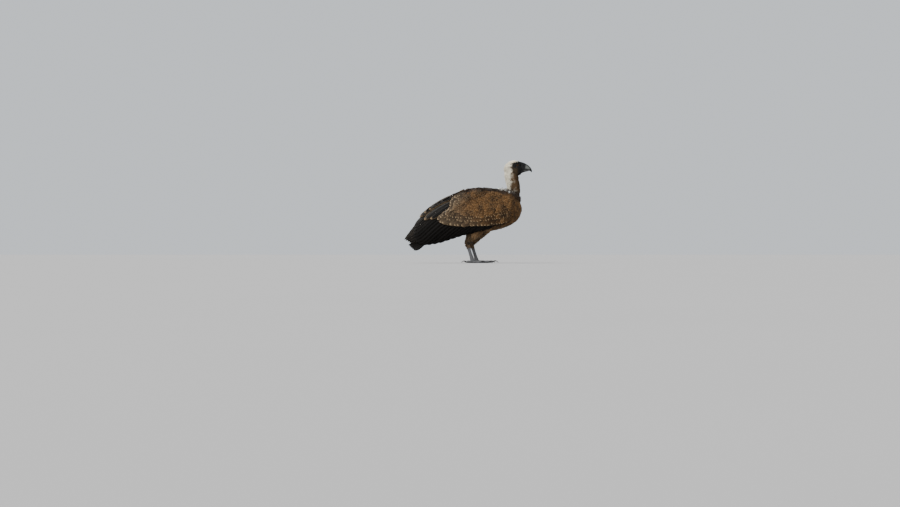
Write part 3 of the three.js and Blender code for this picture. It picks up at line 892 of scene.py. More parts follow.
def bare_skin(voxel):
    """The one skin of head, neck, body and legs, in its shape and unwrapped."""
    skin = remeshed(FLESH + ARMS, "skin", voxel, 6)
    co = places(skin.data)
    move_to(skin.data, co - normals(skin.data) * coat_depth(co)[:, None])
    modify(skin, "SMOOTH", factor=0.5, iterations=2)
    move_to(skin.data, toed(faced(places(skin.data))))
    height = places(skin.data)[:, 2]
    hidden = skin.vertex_groups.new(name="hidden")
    hidden.add(np.flatnonzero((height > COATED[0]) & (height < COATED[1])).tolist(), 1.0, "REPLACE")
    modify(skin, "DECIMATE", ratio=COARSER, vertex_group="hidden", use_collapse_triangulate=True)
    skin.vertex_groups.clear()
    edited(skin, bpy.ops.uv.smart_project, angle_limit=math.radians(70), island_margin=0.001)
    skin.data.uv_layers[0].name = "OFBake"
    return skin


class VULTURE_OT_skin(bpy.types.Operator):
    """Make the one skin of head, neck, body and legs"""

    bl_idname = "vulture.skin"
    bl_label = "Skin"

    def execute(self, context):
        voxel = context.scene.vulture_sizes.skin_voxel * 1.0
        skin = bare_skin(voxel)
        mesh = skin.data
        co = places(mesh)
        paint(mesh, "Marking", marking(co))
        paint(mesh, "Scaly", smooth(0.13, 0.1, co[:, 2]))
        phase, plated = scutes(co, normals(mesh)[:, 2])
        paint(mesh, "Scutes", phase)
        paint(mesh, "Plated", plated)
        mesh.shade_smooth()
        made["skin form"] = Form(mesh)
        corners = fetched(mesh.loop_triangles, "loops", 3, np.int32)
        made["skin unwrap"] = fetched(mesh.uv_layers[0].data, "uv", 2)[corners]
        settle(skin, "skin", skin_finish(), FLESH)
        return {"FINISHED"}


OUTER_VOXEL = 5 * MM
HOLLOW_FILLED = 15 * MM


def outer_form():
    """The bird's outer shape, with the hollows between the back and the wings filled."""
    nodes = ["trunk", "neck", "head", "ruff"] + [
        f"{part}_{side}" for side in SIDES for part in ("thigh", "wing_coverts", "wing_secondaries")
    ]
    piece = remeshed(nodes, "outer form", OUTER_VOXEL, 3)
    for shift in (HOLLOW_FILLED, -HOLLOW_FILLED):
        move_to(piece.data, places(piece.data) + normals(piece.data) * shift)
        modify(piece, "REMESH", mode="VOXEL", voxel_size=OUTER_VOXEL)
        modify(piece, "SMOOTH", factor=0.5, iterations=6)
    form = Form(piece.data)
    bpy.data.objects.remove(piece)
    return form


# ---- Down of the head and neck -------------------------------------------------------------------


def is_head(co):
    """Which places belong to the head."""
    return (co[:, 2] > 0.505) & (co[:, 0] > 0.2)


def is_neck(co):
    """Which places belong to the neck above the ruff."""
    border = np.interp(co[:, 0], [0.2, 0.24, 0.3], [0.43, 0.405, 0.378])
    return (co[:, 2] > border) & ~is_head(co) & (co[:, 0] > 0.2)


# How far the tufts' colours stray from their places, and the height where the nape's tufts begin.
MARKING_SPREAD = 2.2 * MM
NAPE_FROM = 0.455


def lay_down(name, inside, tries, gap, width, lift, keep, form, higher):
    """Short tufts scattered over a part of a form, coloured as the coat is this much higher up.

    tries places are drawn, keep gives the chance of each and none lies within gap of another.
    """
    rng = draws(name)
    root, normal = form.sprinkle(tries, rng, lambda middles, _: inside(middles))
    if keep is not None:
        chosen = rng.random(len(root)) < keep(root)
        root, normal = root[chosen], normal[chosen]
    chosen = thinned(root, np.full(len(root), gap))
    root, normal = root[chosen], normal[chosen]
    heading, length = lie(root)
    heading = tangent(heading + rng.normal(0, 0.2, heading.shape), normal)
    heading = tangent(heading + swirl(root, 0.014, 30) * 0.9, normal)
    length = length * rng.uniform(0.7, 1.25, len(root)) * (0.75 + 0.5 * grain(root, 0.01, 9))
    rise = lift * rng.uniform(0.5, 1.5, len(root)) * (0.6 + 0.8 * grain(root, 0.012, 8))
    # The tufts stand up more in the hollow under the chin, which would show bare skin.
    chin = np.exp(-(((root[:, 2] - 0.502) / 0.009) ** 2)) * smooth(0.27, 0.285, root[:, 0])
    rise = rise * (1 + chin)
    step = length[:, None]
    base = root - normal * (0.1 * step)
    middle = base + step * (heading * 0.5 + normal * rise[:, None])
    bend = rng.normal(0, 0.12, root.shape)
    tip = base + step * (tangent(heading + bend, normal) + normal * (rise * 0.9)[:, None])
    coat = Coat()
    marks = marking(root + rng.normal(0, MARKING_SPREAD, root.shape) + [0, 0, higher])
    half = width * rng.uniform(0.8, 1.2, len(root))
    coat.tufts(base, middle, tip, normal, half, rng.random(len(root)), marks)
    return coat


class VULTURE_OT_down(bpy.types.Operator):
    """Cover the head, the neck and the tops of the shanks with short down"""

    bl_idname = "vulture.down"
    bl_label = "Down of head, neck and shanks"

    def execute(self, context):
        finish = down_finish("Down")

        def open_eye(co):
            eye = np.hypot(co[:, 0] - EYE["x"] * MM, co[:, 2] - EYE["z"] * MM)
            return (1 - 0.45 * smooth(0.288, 0.308, co[:, 0])) * (eye > 0.0096)

        def cere_border(co):
            return smooth(0.318, 0.304, co[:, 0] + 0.008 * (grain(co, 0.005, 11) - 0.5))

        def shank_border(co):
            return smooth(0.088, 0.108, co[:, 2] + 0.014 * (grain(co, 0.009, 12) - 0.5))

        def upper_neck(co):
            return is_neck(co) & (co[:, 2] > NAPE_FROM)

        def lower_neck(co):
            return is_neck(co) & (co[:, 2] <= NAPE_FROM)

        def cere_back(co):
            return co[:, 0] < 0.32

        def shanks(co):
            return (co[:, 2] > 0.086) & (co[:, 2] < 0.14) & (co[:, 0] > -0.06)

        skin, cere = made["skin form"], made["cere form"]
        # Each gap and half width is in millimetres and the last number in metres.
        for name, inside, tries, gap, width, lift, keep, form, higher in (
            ("down_head", is_head, 130000, 0.86, 0.42, 0.19, open_eye, skin, 0.0),
            ("down_nape", upper_neck, 90000, 0.84, 0.46, 0.24, None, skin, 0.0),
            ("down_neck", lower_neck, 90000, 0.84, 0.46, 0.24, None, skin, 0.0),
            ("down_cere", cere_back, 16000, 0.7, 0.3, 0.2, cere_border, cere, 0.0),
            ("down_shanks", shanks, 30000, 0.95, 0.5, 0.1, shank_border, skin, 0.024),
        ):
            coat = lay_down(name, inside, tries, gap * MM, width * MM, lift, keep, form, higher)
            coat.piece(name, "down", finish)
        return {"FINISHED"}


# ---- Ruff ----------------------------------------------------------------------------------------

# The point that the plumes stand away from, the gap between them, and how deep their roots lie.
RUFF_MIDDLE = np.array([0.262, 0.0, 0.40])
PLUME_GAP = 1.45 * MM
PLUME_SUNK = 5 * MM
PLUME_RINGS = 5


def plume_roots(rng):
    """Where the plumes grow on the ruff, the way out of it there and the way they run."""
    ruff = Form(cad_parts["ruff"].data)
    root, normal = ruff.sprinkle(30000, rng, lambda middles, n: n[:, 2] > -0.35)
    chosen = thinned(root, np.full(len(root), PLUME_GAP))
    root, normal = root[chosen], normal[chosen]
    outwards = unit((root - RUFF_MIDDLE) * [1, 1, 0.2])
    rear = smooth(0.245, 0.215, root[:, 0])[:, None]
    fall = mixed(np.array([-0.3, 0, -0.4]), np.array([-1.6, 0, 0.1]), rear)
    strays = swirl(root, 0.02, 40) * 1.1 + rng.normal(0, 0.16, root.shape)
    heading = tangent(outwards + fall + strays, normal)
    flat = heading[:, 2] < 0.25
    return root[flat], normal[flat], heading[flat]


def whiteness(root):
    """How white the plumes are: white behind, streaked at the sides and brown in front."""
    behind = smooth(0.232, 0.214, root[:, 0] + 0.016 * (grain(root, 0.02, 5) - 0.5))
    streaked = smooth(0.27, 0.255, root[:, 0]) * (grain(root, 0.008, 7) > 0.62)
    return np.maximum(behind, streaked * 0.7)


class VULTURE_OT_ruff(bpy.types.Operator):
    """Lay the loose plumes of the ruff, white behind and brown in front"""

    bl_idname = "vulture.ruff"
    bl_label = "Ruff"

    def execute(self, context):
        c = plumage()
        rng = draws("ruff")
        root, normal, heading = plume_roots(rng)
        white = whiteness(root)
        length = rng.uniform(14, 24, len(root)) * (1 + 0.5 * smooth(0.27, 0.25, root[:, 0])) * MM
        share = ring_places(PLUME_RINGS)[None, :, None]
        lift = (rng.uniform(0.0, 0.3, len(root)) * (0.4 + 0.6 * white))[:, None, None]
        bend = normal[:, None] * (lift * share * (1 - 0.8 * share)) - [0, 0, 0.3] * share**2
        path = root[:, None] + length[:, None, None] * (heading[:, None] * share + bend)
        curl = np.cross(normal, heading) * rng.normal(0, 0.2, (len(root), 1)) * length[:, None]
        path += curl[:, None] * share**2 - normal[:, None] * PLUME_SUNK
        ups = np.repeat(normal[:, None], PLUME_RINGS, 1)
        marks = mixed(linear(c.neck_base), linear(c.ruff), white[:, None])
        marks = marks * (0.5 + 0.6 * grain(root, 0.006, 6))[:, None]
        coat = Coat()
        coat.vanes(path, ups, length * 0.028, "tuft", "lance", 0.5 * MM, rng.random(len(root)), marks)
        coat.piece("ruff_plumes", "ruff", down_finish("Ruff down"), ["ruff"])
        return {"FINISHED"}


# ---- Body feathers -------------------------------------------------------------------------------

# How deep the feathers' roots lie in the outer form.
FEATHER_SUNK = 2.2 * MM


def lay_contour(name, form, inside, tries, overlap, ratio, rings, lift, section):
    """Overlapping feathers scattered over a part of the outer form.

    overlap is the gap between feathers and ratio their half width, both as a share of their length. Those
    of the thighs, low down, are narrower and closer together.
    """
    rng = draws(name)
    root, normal = form.sprinkle(tries, rng, inside)
    seen = form.open_sky(root, normal)
    root, normal = root[seen], normal[seen]
    _, length = lie(root)
    chosen = thinned(root, length * overlap * mixed(0.74, 1.0, smooth(0.15, 0.23, root[:, 2])))
    root, normal, length = root[chosen], normal[chosen], length[chosen]
    length = length * rng.uniform(0.8, 1.2, len(root))
    heading = lie(root)[0] + swirl(root, 0.03, 20) * 0.35 + rng.normal(0, 0.1, root.shape)
    back = root - tangent(heading, normal) * (length * 0.35)[:, None]
    start, start_up, _ = form.nearest(back)
    path, ups = combed(form, start, start_up, length, rings, heading)
    share = ring_places(rings)
    tall = lift * rng.uniform(0.5, 1.6, len(root))
    path = path + ups * (-FEATHER_SUNK + tall[:, None] * share**1.2)[..., None]
    ragged = 1 + rng.normal(0, 0.055, (len(root), rings, 2))
    ratio = ratio * mixed(0.58, 1.0, smooth(0.15, 0.23, root[:, 2]))
    coat = Coat()
    coat.vanes(path, ups, length * ratio * rng.uniform(0.85, 1.15, len(root)), section, "round", 0.4 * MM,
               rng.random(len(root)), marking(root, False), camber=0.22, roll=rng.normal(0, 0.1, len(root)),
               ragged=ragged)
    return coat


class VULTURE_OT_body(bpy.types.Operator):
    """Lay the feathers of the breast, belly, thighs and back"""

    bl_idname = "vulture.body"
    bl_label = "Body feathers"

    def execute(self, context):
        c = plumage()
        form = outer_form()
        breast = feather_finish("Breast feathers", 0.35, c.edge, streak=0.08, centre=0.5)
        back = feather_finish("Mantle feathers", 0.35, c.mantle_edge, streak=0.0, centre=0.5)

        def low(co, _):
            x, z = co[:, 0], co[:, 2]
            below = z < np.interp(x, [-0.3, -0.1, 0.2, 0.26, 0.32], [0.2, 0.22, 0.26, 0.42, 0.42])
            near = (x > -0.16) | (np.abs(co[:, 1]) < 0.06)
            return below & near & (x > -0.25) & (z > 0.106) & ~is_neck(co) & ~covert_field(co)

        def high(co, n):
            x, z = co[:, 0], co[:, 2]
            upper = (z > np.interp(x, [-0.23, -0.1, 0.2], [0.27, 0.3, 0.2])) & (x > -0.225)
            upper &= (x > -0.04) | (z > wing_at(x, WING_TOP) - 0.012) | (np.abs(co[:, 1]) < 0.03)
            facing = n[:, 2] > np.interp(x, [-0.2, 0.1], [0.15, -0.6])
            return upper & facing & ~low(co, n) & ~covert_field(co) & ~is_neck(co) & ~is_head(co)

        coat = lay_contour("breast", form, low, 40000, 0.288, 0.26, 9, 2.8 * MM, "leaf")
        coat.piece("feathers_breast", "plumage", breast)
        coat = lay_contour("back", form, high, 26000, 0.28, 0.28, 10, 3.2 * MM, "vane")
        coat.piece("feathers_back", "plumage", back)
        return {"FINISHED"}


# ---- Wings ---------------------------------------------------------------------------------------

# The folded wing's outside: [x, y and z of its upper edge, of its fullest place and of its lower edge].
WING = [
    [292, 64, 356, 82, 318, 84, 284],
    [270, 72, 384, 100, 318, 98, 252],
    [215, 74, 414, 123, 316, 116, 228],
    [115, 70, 434, 138, 312, 126, 196],
    [15, 60, 436, 139, 300, 126, 176],
    [-85, 44, 402, 127, 276, 118, 150],
    [-170, 26, 352, 108, 248, 104, 124],
    [-235, 14, 312, 88, 216, 90, 108],
    [-300, 12, 246, 60, 180, 68, 106],
    [-380, 12, 146, 24, 136, 28, 124],
]
WING_ROWS = through(WING, 120)[::-1] * MM
WING_TOP, WING_LOW = 2, 6
# How far below the wing's upper edge the back's feathers give way to the wing's.
WING_SEAM = 30 * MM
# Where the lowest coverts end, [x, z] seen from the side: down the rear edge and then forward.
COVERT_EDGE = [
    [-62, 400], [-96, 350], [-112, 306], [-138, 276], [-176, 244], [-120, 224], [-20, 213], [90, 216],
    [190, 227], [232, 240],
]


def wing_at(x, column):
    """One of the numbers of the folded wing's outside at a place along the bird."""
    return np.interp(x, WING_ROWS[:, 0], WING_ROWS[:, column])


def wing_out(x, z):
    """How far out the folded wing's outside lies at a place seen from the side."""
    top_y, top_z, mid_y, mid_z, low_y, low_z = (wing_at(x, column) for column in range(1, 7))
    # t is the share of the way down at which a curve through the three places has this height.
    a = 2 * top_z - 4 * mid_z + 2 * low_z
    b = -3 * top_z + 4 * mid_z - low_z
    a = np.where(np.abs(a) < 1e-6, 1e-6, a)
    t = np.clip((-b - np.sqrt(np.maximum(b * b - 4 * a * (top_z - z), 0))) / (2 * a), -0.15, 1.2)
    return top_y + t * (-3 * top_y + 4 * mid_y - low_y) + t * t * (2 * top_y - 4 * mid_y + 2 * low_y)


def in_field(x, z, margin=0.0):
    """Whether a place seen from the side belongs to the rows of coverts."""
    edge = np.array(COVERT_EDGE[4:]) * MM
    low = np.interp(x, edge[:, 0], edge[:, 1])
    front = np.interp(z, [0.2, 0.278, 0.322, 0.36, 0.4], [0.216, 0.222, 0.238, 0.25, 0.25])
    rear = np.interp(z, [0.244, 0.276, 0.306, 0.35, 0.4], [-0.176, -0.138, -0.112, -0.096, -0.062])
    top = wing_at(x, WING_TOP) - WING_SEAM
    return (x < front + margin) & (x > rear - margin) & (z < top + margin) & (z > low - margin)


def covert_field(co):
    """Which places the coverts and the flight feathers hide."""
    x, y, z = co[:, 0], np.abs(co[:, 1]), co[:, 2]
    flight = (x < 0.21) & (z < wing_at(x, WING_TOP) - WING_SEAM) & (z > wing_at(x, WING_LOW) - 0.012)
    return (in_field(x, z) | flight) & (y > wing_out(x, z) - 0.04)


def on_wing(route, side, depth):
    """Places on the folded wing, and the way out of it, from [x, z] seen from the side."""
    x, z = route[..., 0], route[..., 1]
    step = 4 * MM
    slope_x = (wing_out(x + step, z) - wing_out(x - step, z)) / (2 * step)
    slope_z = (wing_out(x, z + step) - wing_out(x, z - step)) / (2 * step)
    out = unit(np.stack([-slope_x, np.ones_like(x), -slope_z], -1))
    co = np.stack([x, wing_out(x, z), z], -1) - out * depth[..., None]
    return co * [1, side, 1], out * [1, side, 1]


# The coverts' length, how much of it shows and their half width at some of the rows, in millimetres.
SIZED_ROWS = [0, 1, 2, 4, 9, 16]
COVERT_SIZES = ([92, 66, 54, 44, 32, 22], [38, 27, 22, 17, 13, 10], [18, 15, 13, 11, 8.5, 6.5])
MOST_ROWS = 26
GREATER_ROWS = 3
COVERT_RINGS = 10


def aimed(degrees):
    """The [x, z] of a step upwards and ahead at these angles."""
    angle = np.radians(degrees)
    return np.stack([np.cos(angle), np.sin(angle)], 1)


def lay_covert_rows(coats, side, rng):
    """Rows of coverts, from the long ones at the lower and rear edge up to the small ones at the wrist."""
    # crowd grows along the edge as fast as the coverts are close, which are small towards the front.
    edge = through(COVERT_EDGE, 400)
    smaller = np.interp(edge[:, 0], [90, 235], [1.0, 0.5])
    steps = np.linalg.norm(np.diff(edge, axis=0), axis=1)
    crowd = np.concatenate([[0], np.cumsum(steps / smaller[1:])])
    rise = 0.0
    for row in range(MOST_ROWS):
        length, seen, half = (np.interp(row, SIZED_ROWS, sizes) for sizes in COVERT_SIZES)
        count = int(crowd[-1] / (half * 1.2))
        along = (np.arange(count) + 0.5 * (row % 2) + rng.uniform(-0.2, 0.2, count)) / count * crowd[-1]
        tip = np.stack([np.interp(along, crowd, edge[:, k]) for k in range(2)], 1)
        size = np.interp(along, crowd, smaller) * rng.uniform(0.88, 1.12, count)
        slope = np.interp(tip[:, 0], [-150, 0, 150, 240], [36, 40, 50, 60]) + rng.normal(0, 6, count)
        tip = tip + rise * aimed(np.interp(tip[:, 0], [-150, 240], [34, 62]))
        tip = tip + rng.normal(0, 1.9 + 0.08 * row, tip.shape)
        root = (tip + aimed(slope) * (length * size)[:, None]) * MM
        tip = tip * MM
        keep = in_field(tip[:, 0], tip[:, 1], 0.008)
        if not keep.any():
            break
        share = ring_places(COVERT_RINGS)
        route = (root[:, None] + (tip - root)[:, None] * share[None, :, None])[keep]
        number = len(route)
        strays = rng.normal(-0.2 * MM, 0.6 * MM, (number, 1)) * share**2
        depth = 3.6 * MM * (1 - share) - row * 0.03 * MM + strays
        path, ups = on_wing(route, side, depth)
        grey = np.interp(row, [0, 4], [0.75, 0.0]) * smooth(0.14, -0.04, path[:, -1, 0])
        marks = mixed(marking(path[:, -1], False), linear(plumage().greater), grey[:, None])
        coats[0 if row < GREATER_ROWS else 1].vanes(
            path, ups, half * MM * size[keep] * rng.uniform(0.9, 1.12, number), "vane", "round", 0.5 * MM,
            rng.random(number), marks, camber=0.16, roll=rng.normal(0, 0.09, number),
            ragged=1 + rng.normal(0, 0.06, (number, COVERT_RINGS, 2)))
        rise += seen


class VULTURE_OT_coverts(bpy.types.Operator):
    """Lay the rows of coverts on both folded wings"""

    bl_idname = "vulture.coverts"
    bl_label = "Wing coverts"

    def execute(self, context):
        c = plumage()
        greater = feather_finish("Greater coverts", 0.95, c.edge, streak=0.05, centre=0.95)
        lesser = feather_finish("Lesser coverts", 0.45, c.edge, streak=0.06, centre=0.7)
        for name, side in SIDES.items():
            coats = [Coat(), Coat()]
            lay_covert_rows(coats, side, draws("coverts"))
            coats[0].piece(f"coverts_greater_{name}", "coverts", greater, [f"wing_coverts_{name}"])
            coats[1].piece(f"coverts_lesser_{name}", "coverts", lesser)
        return {"FINISHED"}


# Where the long feathers lie, seen from the side: [root x, root z, tip x, tip z, half width].
SECONDARY_ENDS = [
    [-86, 378, -306, 222, 22], [-70, 370, -312, 186, 23], [-38, 358, -308, 148, 25], [0, 338, -292, 116, 26],
    [40, 322, -250, 104, 27], [80, 306, -186, 112, 27], [120, 296, -112, 134, 26], [160, 288, -40, 156, 25],
    [200, 272, 40, 176, 24], [222, 258, 104, 192, 22],
]
PRIMARY_ENDS = [
    [-100, 352, -318, 224, 15], [-97, 345, -336, 200, 16], [-94, 336, -356, 176, 16],
    [-91, 328, -373, 154, 16], [-88, 318, -374, 143, 16], [-84, 306, -360, 131, 17],
    [-80, 294, -346, 120, 18], [-76, 284, -336, 108, 18],
]
TERTIAL_ENDS = [
    [-36, 402, -222, 312, 22], [-40, 396, -250, 292, 23], [-42, 388, -277, 270, 23],
    [-40, 380, -250, 252, 24], [-44, 364, -214, 256, 24],
]
# How far long feathers bow, as a share of their length, and how much deeper their roots lie.
LONG_BOW = 0.05
ROOTS_DEEPER = 7
LONG_RINGS = 18
QUILL_THICK = 0.9 * MM


def lay_long(ends, side, rng, count, depth_from, depth_step, outline):
    """Long feathers side by side, the first uppermost and outermost, at depths in millimetres."""
    rows = through(ends, count)
    root, tip, half = rows[:, :2] * MM, rows[:, 2:4] * MM, rows[:, 4] * MM
    share = ring_places(LONG_RINGS)[None, :, None]
    run = tip - root
    bow = np.stack([run[:, 1], -run[:, 0]], 1)[:, None] * (np.sin(math.pi * share) * LONG_BOW)
    route = root[:, None] + run[:, None] * share + bow
    depth = depth_from + depth_step * np.arange(count)[:, None] + ROOTS_DEEPER * (1 - share[..., 0]) ** 2
    path, ups = on_wing(route, side, depth * MM)
    coat = Coat()
    coat.vanes(path, ups, half * rng.uniform(0.95, 1.05, count), "quill", outline, QUILL_THICK,
               rng.random(count), np.tile(linear(plumage().flight), (count, 1)), camber=0.06,
               patches=strips(count))
    return coat


class VULTURE_OT_flight(bpy.types.Operator):
    """Lay the secondaries, tertials and primaries of both folded wings"""

    bl_idname = "vulture.flight"
    bl_label = "Flight feathers"

    def execute(self, context):
        c = plumage()
        dark = flight_finish("Secondaries", 0.2, c.flight_edge)
        edged = flight_finish("Primaries", 0.8, c.primary_edge, 0.45)
        pale = feather_finish(
            "Tertials", 0.7, c.tertial_tip, 0.0, 0.2, end=0.95, fine=150.0, roughness=0.65, gloss=0.08)
        for name, side in SIDES.items():
            rng = draws("flight")
            for group, ends, count, depth_from, depth_step, outline, finish, nodes in (
                ("primaries", PRIMARY_ENDS, 10, 14.0, 0.5, "wing", edged, [f"wing_primaries_{name}"]),
                ("secondaries", SECONDARY_ENDS, 20, 4.5, 0.6, "long", dark, [f"wing_secondaries_{name}"]),
                ("tertials", TERTIAL_ENDS, 5, 0.5, 0.6, "long", pale, []),
            ):
                coat = lay_long(ends, side, rng, count, depth_from, depth_step, outline)
                coat.piece(f"{group}_{name}", "flight", finish, nodes)
        return {"FINISHED"}


# ---- Tail ----------------------------------------------------------------------------------------

# How the tail hangs, in millimetres and degrees: its middle feathers are the longest and its sides droop.
TAIL = {
    "root": (-134, 256), "slope": 38, "length": 262, "shorter": 56, "widths": (40, 78), "droops": (12, 58),
    "raised": 13,
}
TAIL_FEATHERS = 14
TAIL_HALF_WIDTH = 25 * MM


def tail_place(share, across, below):
    """A place on the arched fan: share runs from root to tip and across from -1 to 1."""
    slope = math.radians(TAIL["slope"])
    along = share * (TAIL["length"] - TAIL["shorter"] * across**2)
    droop = mixed(*TAIL["droops"], share) * across**2 - TAIL["raised"] * share**2 * (1 - across**2)
    return np.stack([
        TAIL["root"][0] - along * math.cos(slope),
        mixed(*TAIL["widths"], share) * across,
        TAIL["root"][1] - along * math.sin(slope) - droop - below,
    ], -1) * MM


class VULTURE_OT_tail(bpy.types.Operator):
    """Lay the fan of stiff tail feathers"""

    bl_idname = "vulture.tail"
    bl_label = "Tail"

    def execute(self, context):
        c = plumage()
        across = np.linspace(-0.86, 0.86, TAIL_FEATHERS)
        order = np.abs(np.arange(TAIL_FEATHERS) - (TAIL_FEATHERS - 1) / 2)
        below = 1.0 + 0.8 * order[:, None]
        share = ring_places(LONG_RINGS)
        grid = across[:, None] * np.ones_like(share)
        path = tail_place(share, grid, below)
        beside = tail_place(share, grid + 0.02, below)
        run = np.gradient(path, axis=1)
        ups = unit(np.cross(run, beside - path))
        ups *= np.sign(ups[..., 2:3])
        coat = Coat()
        rng = draws("tail")
        marks = np.tile(linear(c.flight), (TAIL_FEATHERS, 1))
        coat.vanes(path, ups, np.full(TAIL_FEATHERS, TAIL_HALF_WIDTH), "quill", "long", QUILL_THICK,
                   rng.random(TAIL_FEATHERS), marks, camber=0.08, patches=strips(TAIL_FEATHERS))
        coat.piece("tail_feathers", "flight", flight_finish("Tail feathers", 0.2, c.flight_edge), ["tail"])
        return {"FINISHED"}


# ---- Bill, eyes and claws ------------------------------------------------------------------------

# The upper bill from forehead to hook: [x and z of the ridge, x and z of the cutting edge, half width].
UPPER_BILL = [
    [299, 591, 299, 541, 21.5], [313, 585.5, 309, 540.7, 21], [326, 581, 319, 540.3, 19.4],
    [338, 576, 329, 540, 17.6], [349, 569.5, 341, 539.2, 15.4], [358.5, 562, 352, 537.4, 12.6],
    [367, 552.5, 360, 534.8, 9.4], [372.8, 542.5, 366, 531.4, 6.2], [375, 533.5, 370.4, 528, 3.4],
    [373.6, 525.4, 372.8, 525, 0.7],
]
# The bill's half section, from ridge to cutting edge: [share down, share out], and its inner wall.
UPPER_SIDE = [
    [0, 0], [0.05, 0.24], [0.14, 0.46], [0.28, 0.66], [0.45, 0.82], [0.62, 0.93], [0.8, 0.99],
    [0.93, 1], [1, 0.95],
]
UPPER_INSIDE = [[0.965, 0.85], [0.93, 0.5], [0.915, 0.2]]
# The lower bill, from its cutting edge down: [x and z of the cutting edge, x and z of the keel, half width].
LOWER_BILL = [
    [299, 540, 302, 513, 19], [316, 540, 318, 521.5, 17.4], [332, 539.6, 333, 527.3, 15],
    [345, 538.6, 345, 530, 11.6], [355, 536.8, 354, 533.2, 6.4], [359, 535.8, 358.6, 535, 2],
]
LOWER_SIDE = [[1, 0], [0.94, 0.3], [0.8, 0.56], [0.55, 0.82], [0.3, 0.96], [0.1, 1], [0, 0.95]]
LOWER_INSIDE = [[0.05, 0.8], [0.12, 0.45], [0.15, 0.2]]
# The station where the cere ends, and the middle of its nostril, [x, z] in millimetres.
CERE_END = 3.0
NOSTRIL = (325, 563)
NOSTRIL_DEEP = 3.2 * MM


def bill_rings(stations, side, inside, count):
    """Rings between a ridge and a cutting edge, and the station and the share down of each point."""
    rows = through(stations, count)
    half = through(side, 26)
    inner = np.array(inside)
    down = np.concatenate([half[:, 0], inner[:, 0], inner[::-1, 0], half[:0:-1, 0]])
    out = np.concatenate([half[:, 1], inner[:, 1], -inner[::-1, 1], -half[:0:-1, 1]])
    start, end = rows[:, None, :2], rows[:, None, 2:4]
    flat = mixed(start, end, down[None, :, None])
    rings = np.stack([flat[..., 0], rows[:, 4:5] * out, flat[..., 1]], -1) * MM
    station = np.linspace(0, len(stations) - 1, count)[:, None] * np.ones_like(down)
    return rings, station, down * np.ones_like(station)


def cere_shape(rings, station):
    """The cere's rings, swollen to a soft lip and sunk at the nostrils, and how sunk each point is."""
    lip = smooth(CERE_END + 0.02, CERE_END - 0.14, station)
    width = mixed(0.84, 1.02, smooth(0, 1.3, station)) * mixed(0.95, 1, lip)
    middle = rings.mean(1, keepdims=True)
    cere = middle + (rings - middle) * width[:, None, None]
    x, z = cere[..., 0] / MM - NOSTRIL[0], cere[..., 2] / MM - NOSTRIL[1]
    hole = smooth(1.5, 0.35, ((x - 0.2 * z) / 1.7) ** 2 + (z / 4.6) ** 2)
    cere[..., 1] -= np.sign(cere[..., 1]) * hole * NOSTRIL_DEEP
    return cere, hole


def horned(name, rings, colours, finish, node):
    """A piece through these rings that has a colour at each of their points."""
    obj = lofted(name, rings)
    flat = colours.reshape(-1, 3)
    paint(obj.data, "Marking", np.vstack([flat, colours[0].mean(0), colours[-1].mean(0)]))
    return settle(obj, name, finish, [node])


class VULTURE_OT_bill(bpy.types.Operator):
    """Make the cere, the hooked upper bill and the lower bill"""

    bl_idname = "vulture.bill"
    bl_label = "Bill"

    def execute(self, context):
        c = plumage()
        horn = horn_finish("Horn", 0.38)
        soft = horn_finish("Cere skin", 0.62, 0.8, 1.6)
        dark, pale, skin = (linear(colour) for colour in (c.horn_tip, c.horn, c.cere))

        rings, station, down = bill_rings(UPPER_BILL, UPPER_SIDE, UPPER_INSIDE, 130)
        split = int(np.searchsorted(station[:, 0], CERE_END))
        cere, hole = cere_shape(rings[: split + 2], station[: split + 2, 0])
        colours = mixed(skin, linear((0.03, 0.03, 0.03)), hole[..., None])
        cere_skin = horned("cere_skin", cere, colours, soft, "cere")
        made["cere form"] = Form(cere_skin.data)

        part = slice(split - 2, None)
        patch = smooth(0.1, 0.3, down[part]) * smooth(0.95, 0.6, down[part])
        patch = patch * smooth(6.4, 4.9, station[part]) * smooth(2.9, 3.6, station[part])
        horned("upper_bill", rings[part], mixed(dark, pale, patch[..., None]), horn, "bill_upper")

        rings, station, down = bill_rings(LOWER_BILL, LOWER_SIDE, LOWER_INSIDE, 60)
        patch = smooth(0.8, 0.4, down) * smooth(1.2, 2.2, station) * smooth(4.6, 3.4, station) * 0.5
        horned("lower_bill", rings, mixed(dark, pale, patch[..., None]), horn, "bill_lower")
        return {"FINISHED"}


# The middle of the left eye's ball and its radius, in millimetres. The right eye mirrors it.
EYE = {"x": 289, "z": 567, "y": 20.5, "radius": 9.5}


def lids(side):
    """The rings of the eyelids' rim, which lies on the ball: a wide oval with a straighter upper lid."""
    turn = np.linspace(0, 2 * math.pi, 72, endpoint=False)[:, None]
    about = np.linspace(0, 2 * math.pi, 14, endpoint=False)[None]
    upper = np.maximum(np.sin(turn), 0)
    wide, tall = 7.6 * np.cos(turn), (6.6 - 1.7 * upper**2) * np.sin(turn)
    slant = math.radians(7)
    x, z = wide * math.cos(slant) - tall * math.sin(slant), wide * math.sin(slant) + tall * math.cos(slant)
    thick = 1.35 + 0.75 * upper
    centre = np.concatenate([x, np.sqrt((EYE["radius"] + 0.15) ** 2 - x**2 - z**2), z], 1)
    outwards = unit(centre)
    beside = unit(np.cross(np.roll(centre, -1, 0) - np.roll(centre, 1, 0), outwards))
    rim = centre[:, None] + (thick * np.cos(about))[..., None] * beside[:, None]
    rim = rim + (thick * 0.8 * np.sin(about))[..., None] * outwards[:, None]
    return (rim + [EYE["x"], EYE["y"], EYE["z"]]) * [1, side, 1] * MM


